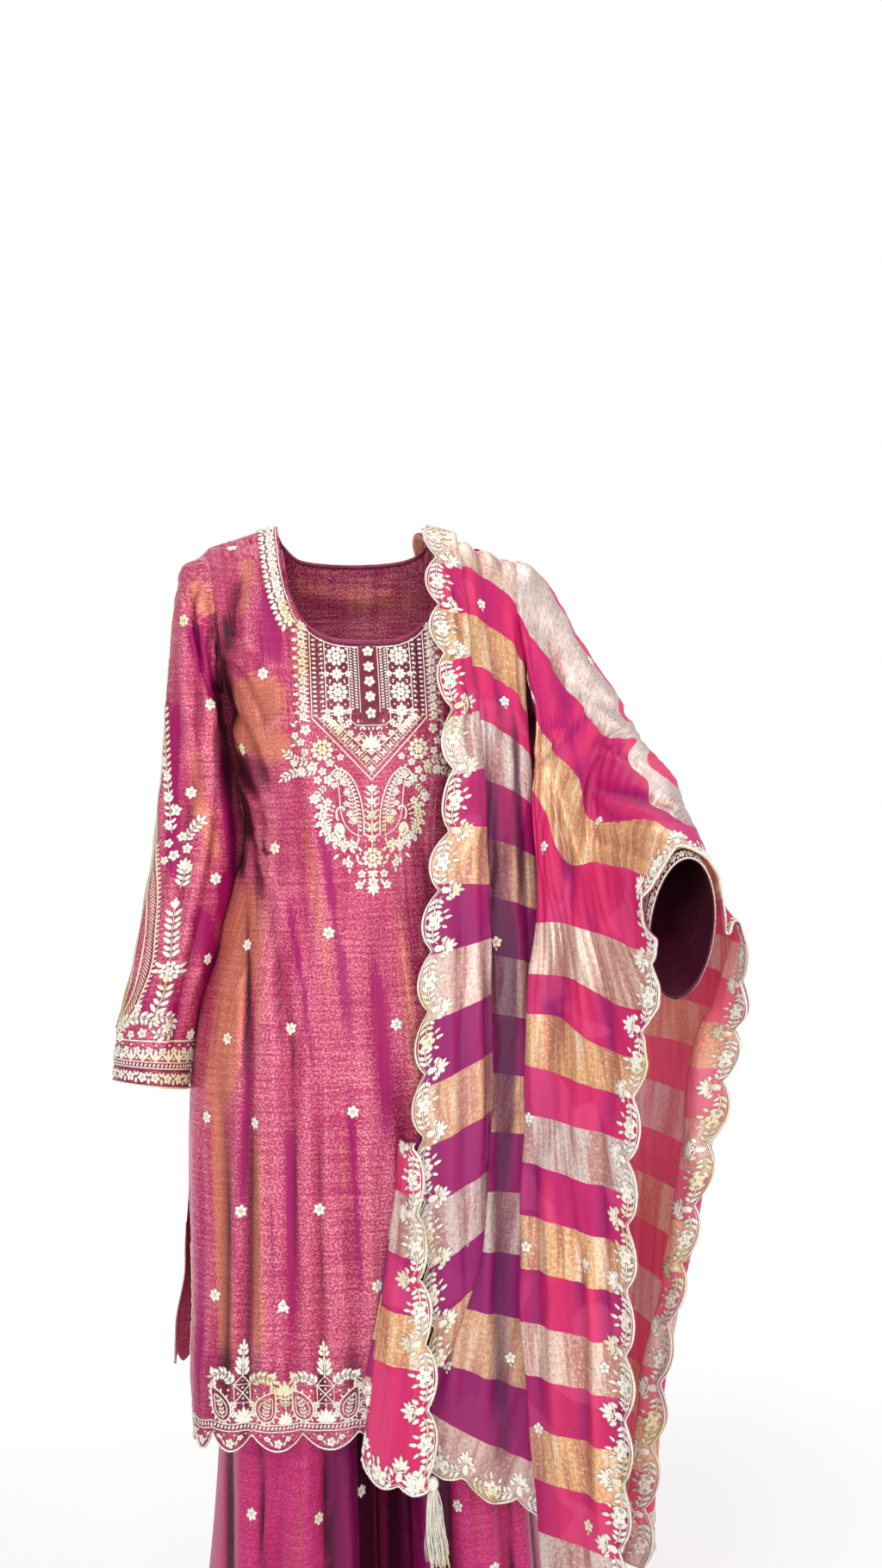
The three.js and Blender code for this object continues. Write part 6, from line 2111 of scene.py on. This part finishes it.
def tassel():
    """A wound head and the threads that hang from it, each a thin tube of its own."""
    rng = np.random.default_rng(61)
    x, y, z = TASSEL["top"]
    neck = TASSEL["neck"]
    points, faces, high = [], [], []

    def tube(path, radii, sides, shine):
        start = sum(len(p) for p in points)
        turn = np.arange(sides) * 2 * pi / sides
        ring = np.stack([np.cos(turn), np.sin(turn), np.zeros(sides)], 1)
        points.append((path[:, None] + ring[None] * radii[:, None, None]).reshape(-1, 3))
        j, i = np.mgrid[0:len(path) - 1, 0:sides]
        a, b = (start + j * sides + i).ravel(), (start + j * sides + (i + 1) % sides).ravel()
        faces.append(np.stack([a, a + sides, b + sides, b], 1))
        high.append(np.repeat(shine, sides))

    t = np.linspace(0, 1, 40)
    wound = np.sin(t * 2 * pi * TASSEL["turns"])
    head = stack(x, y, z - TASSEL["head"] * t)
    profile = neck * (0.34 + 0.52 * np.sin(pi * clamp(t * 1.25, 0, 1)) ** 0.7 + 0.12 * (t > 0.8))
    profile[0] = 0.4
    # shine is the height the thread's finish reads: low in the wound head's grooves, where it paints shade,
    # and a random level on each hanging thread below.
    tube(head, profile + 0.28 * wound, 16, 0.75 + 0.35 * wound)
    for _ in range(TASSEL["threads"]):
        turn = rng.uniform(0, 2 * pi)
        far = rng.uniform(0, 1) ** 0.5
        reach = TASSEL["long"] * rng.uniform(0.86, 1.0) - TASSEL["root"]
        s = np.linspace(0, 1, 12)
        spread = neck * 0.62 * far + (TASSEL["skirt"] - neck * 0.62) * far * smooth(s, -0.2, 0.9)
        wave = rng.normal(0, 1.0, 3)
        bend = 1.2 * wave[0] * np.sin(pi * s * 1.4) + 0.7 * wave[1] * np.sin(pi * s * 3.1)
        path = np.stack([
            x + spread * cos(turn) + bend + 4.0 * s * s, y + spread * sin(turn) * 0.8 + 0.6 * wave[2] * s,
            z - TASSEL["root"] - reach * s,
        ], 1)
        tube(path, np.full(12, 0.62), 3, np.full(12, rng.uniform(0.35, 1.1)))
    piece = mesh_object("thread_tassel", np.concatenate(points), np.concatenate(faces), THREAD)
    number_points(piece.data, "high", np.concatenate(high))
    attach(piece, "root")
    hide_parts("dupatta_tassel")


tassel()

# ---- Floor, light and camera -------------------------------------------------------------------------

scene = bpy.context.scene
scene.view_settings.view_transform = "Standard"

# A pale floor that glows to white away from the suit.
f = Finish("floor")
floor_place = f.add("TexCoord", {}, {}).outputs["Object"]
cloud = f.noise(floor_place, 2)
away = f.add("VectorMath", {"operation": "LENGTH"}, {0: floor_place}).outputs["Value"]
glow = f.step(away, 1.6, 3.2)
f.wear(f.blend(cloud, dye(246, 246, 246), dye(252, 252, 252)), 0.0, 0.8, Emission_Color=(1, 1, 1, 1),
       Emission_Strength=f.times(glow, 0.8))
FLOOR_HALF = 14000.0
corners = [(x * FLOOR_HALF, y * FLOOR_HALF, SHARARA_HEM) for x, y in ((-1, -1), (1, -1), (1, 1), (-1, 1))]
mesh_object("floor", corners, [(0, 1, 2, 3)], f.material)

# The camera sees a white room, which lights the suit less brightly.
world = bpy.data.worlds.new("studio")
scene.world = world
world.use_nodes = True
sky = world.node_tree
kinds = ("Background", "LightPath", "MixShader")
room, seen, either = (sky.nodes.new("ShaderNode" + kind) for kind in kinds)
sky.links.new(seen.outputs["Is Camera Ray"], either.inputs[0])
for shade, socket, colour, strength in ((room, 1, (0.98, 0.97, 1.0, 1), 0.42),
                                        (sky.nodes["Background"], 2, (1, 1, 1, 1), 1.0)):
    shade.inputs[0].default_value = colour
    shade.inputs[1].default_value = strength
    sky.links.new(shade.outputs[0], either.inputs[socket])
sky.links.new(either.outputs[0], sky.nodes["World Output"].inputs[0])


def put_object(name, data, side, up, back, place):
    """An object at that place, in metres, with its own x, y and z along those three directions."""
    shown = bpy.data.objects.new(name, data)
    shown.matrix_world = Matrix([*np.stack([side, up, back, place], 1).tolist(), (0, 0, 0, 1)])
    scene.collection.objects.link(shown)
    return shown


# Each lamp's place, what it faces, its width and height, its power and its colour.
for name, place, aim, size, power, colour in (
    ("key", (-1.3, -2.6, 1.2), (0.05, 0, -0.5), (1.4, 1.8), 42, (1, 1, 1)),
    ("fill", (2.2, -2.2, 0.2), (0.1, 0, -0.6), (1.6, 2.0), 20, (1.0, 0.98, 0.96)),
    ("front", (0.05, -2.6, -0.2), (0.25, 0, -0.6), (0.7, 0.7), 14, (1, 1, 1)),
    ("top", (0.3, 0.4, 2.2), (0.1, 0, -0.3), (2.0, 1.6), 30, (1, 1, 1)),
    ("back", (0.2, 3.0, 0.8), (0, 0, -0.5), (2.4, 1.8), 46, (1, 1, 1)),
):
    light = bpy.data.lights.new(name, "AREA")
    light.shape = "RECTANGLE"
    light.size, light.size_y = size
    light.energy = power
    light.color = colour
    back_way = unit(np.array(place) - np.array(aim))
    side_way = unit(np.cross((0, 0, 1), back_way))
    put_object(name, light, side_way, np.cross(back_way, side_way), back_way, place)

# The camera's distance from the suit's axis, its height, its place round the suit, how far it looks aside
# from the axis, its small tilt, and its focal length as a share of the picture's height.
VIEW = {"away": 1.6, "high": -0.293, "round": radians(-6), "aside": atan(94 / 1600), "roll": radians(1.2),
        "lens": 1600 / 1820}
SENSOR = 36
turned = -VIEW["round"] + VIEW["aside"]
ahead = np.array((sin(turned), cos(turned), 0))
right = np.array((cos(turned), -sin(turned), 0))
up = np.array((0, 0, 1.0))
lens = bpy.data.cameras.new("camera")
lens.sensor_fit = "VERTICAL"
lens.sensor_height = SENSOR
lens.lens = SENSOR * VIEW["lens"]
scene.camera = put_object(
    "camera", lens,
    cos(VIEW["roll"]) * right - sin(VIEW["roll"]) * up,
    sin(VIEW["roll"]) * right + cos(VIEW["roll"]) * up,
    -ahead,
    (sin(VIEW["round"]) * VIEW["away"], -cos(VIEW["round"]) * VIEW["away"], VIEW["high"]),
)
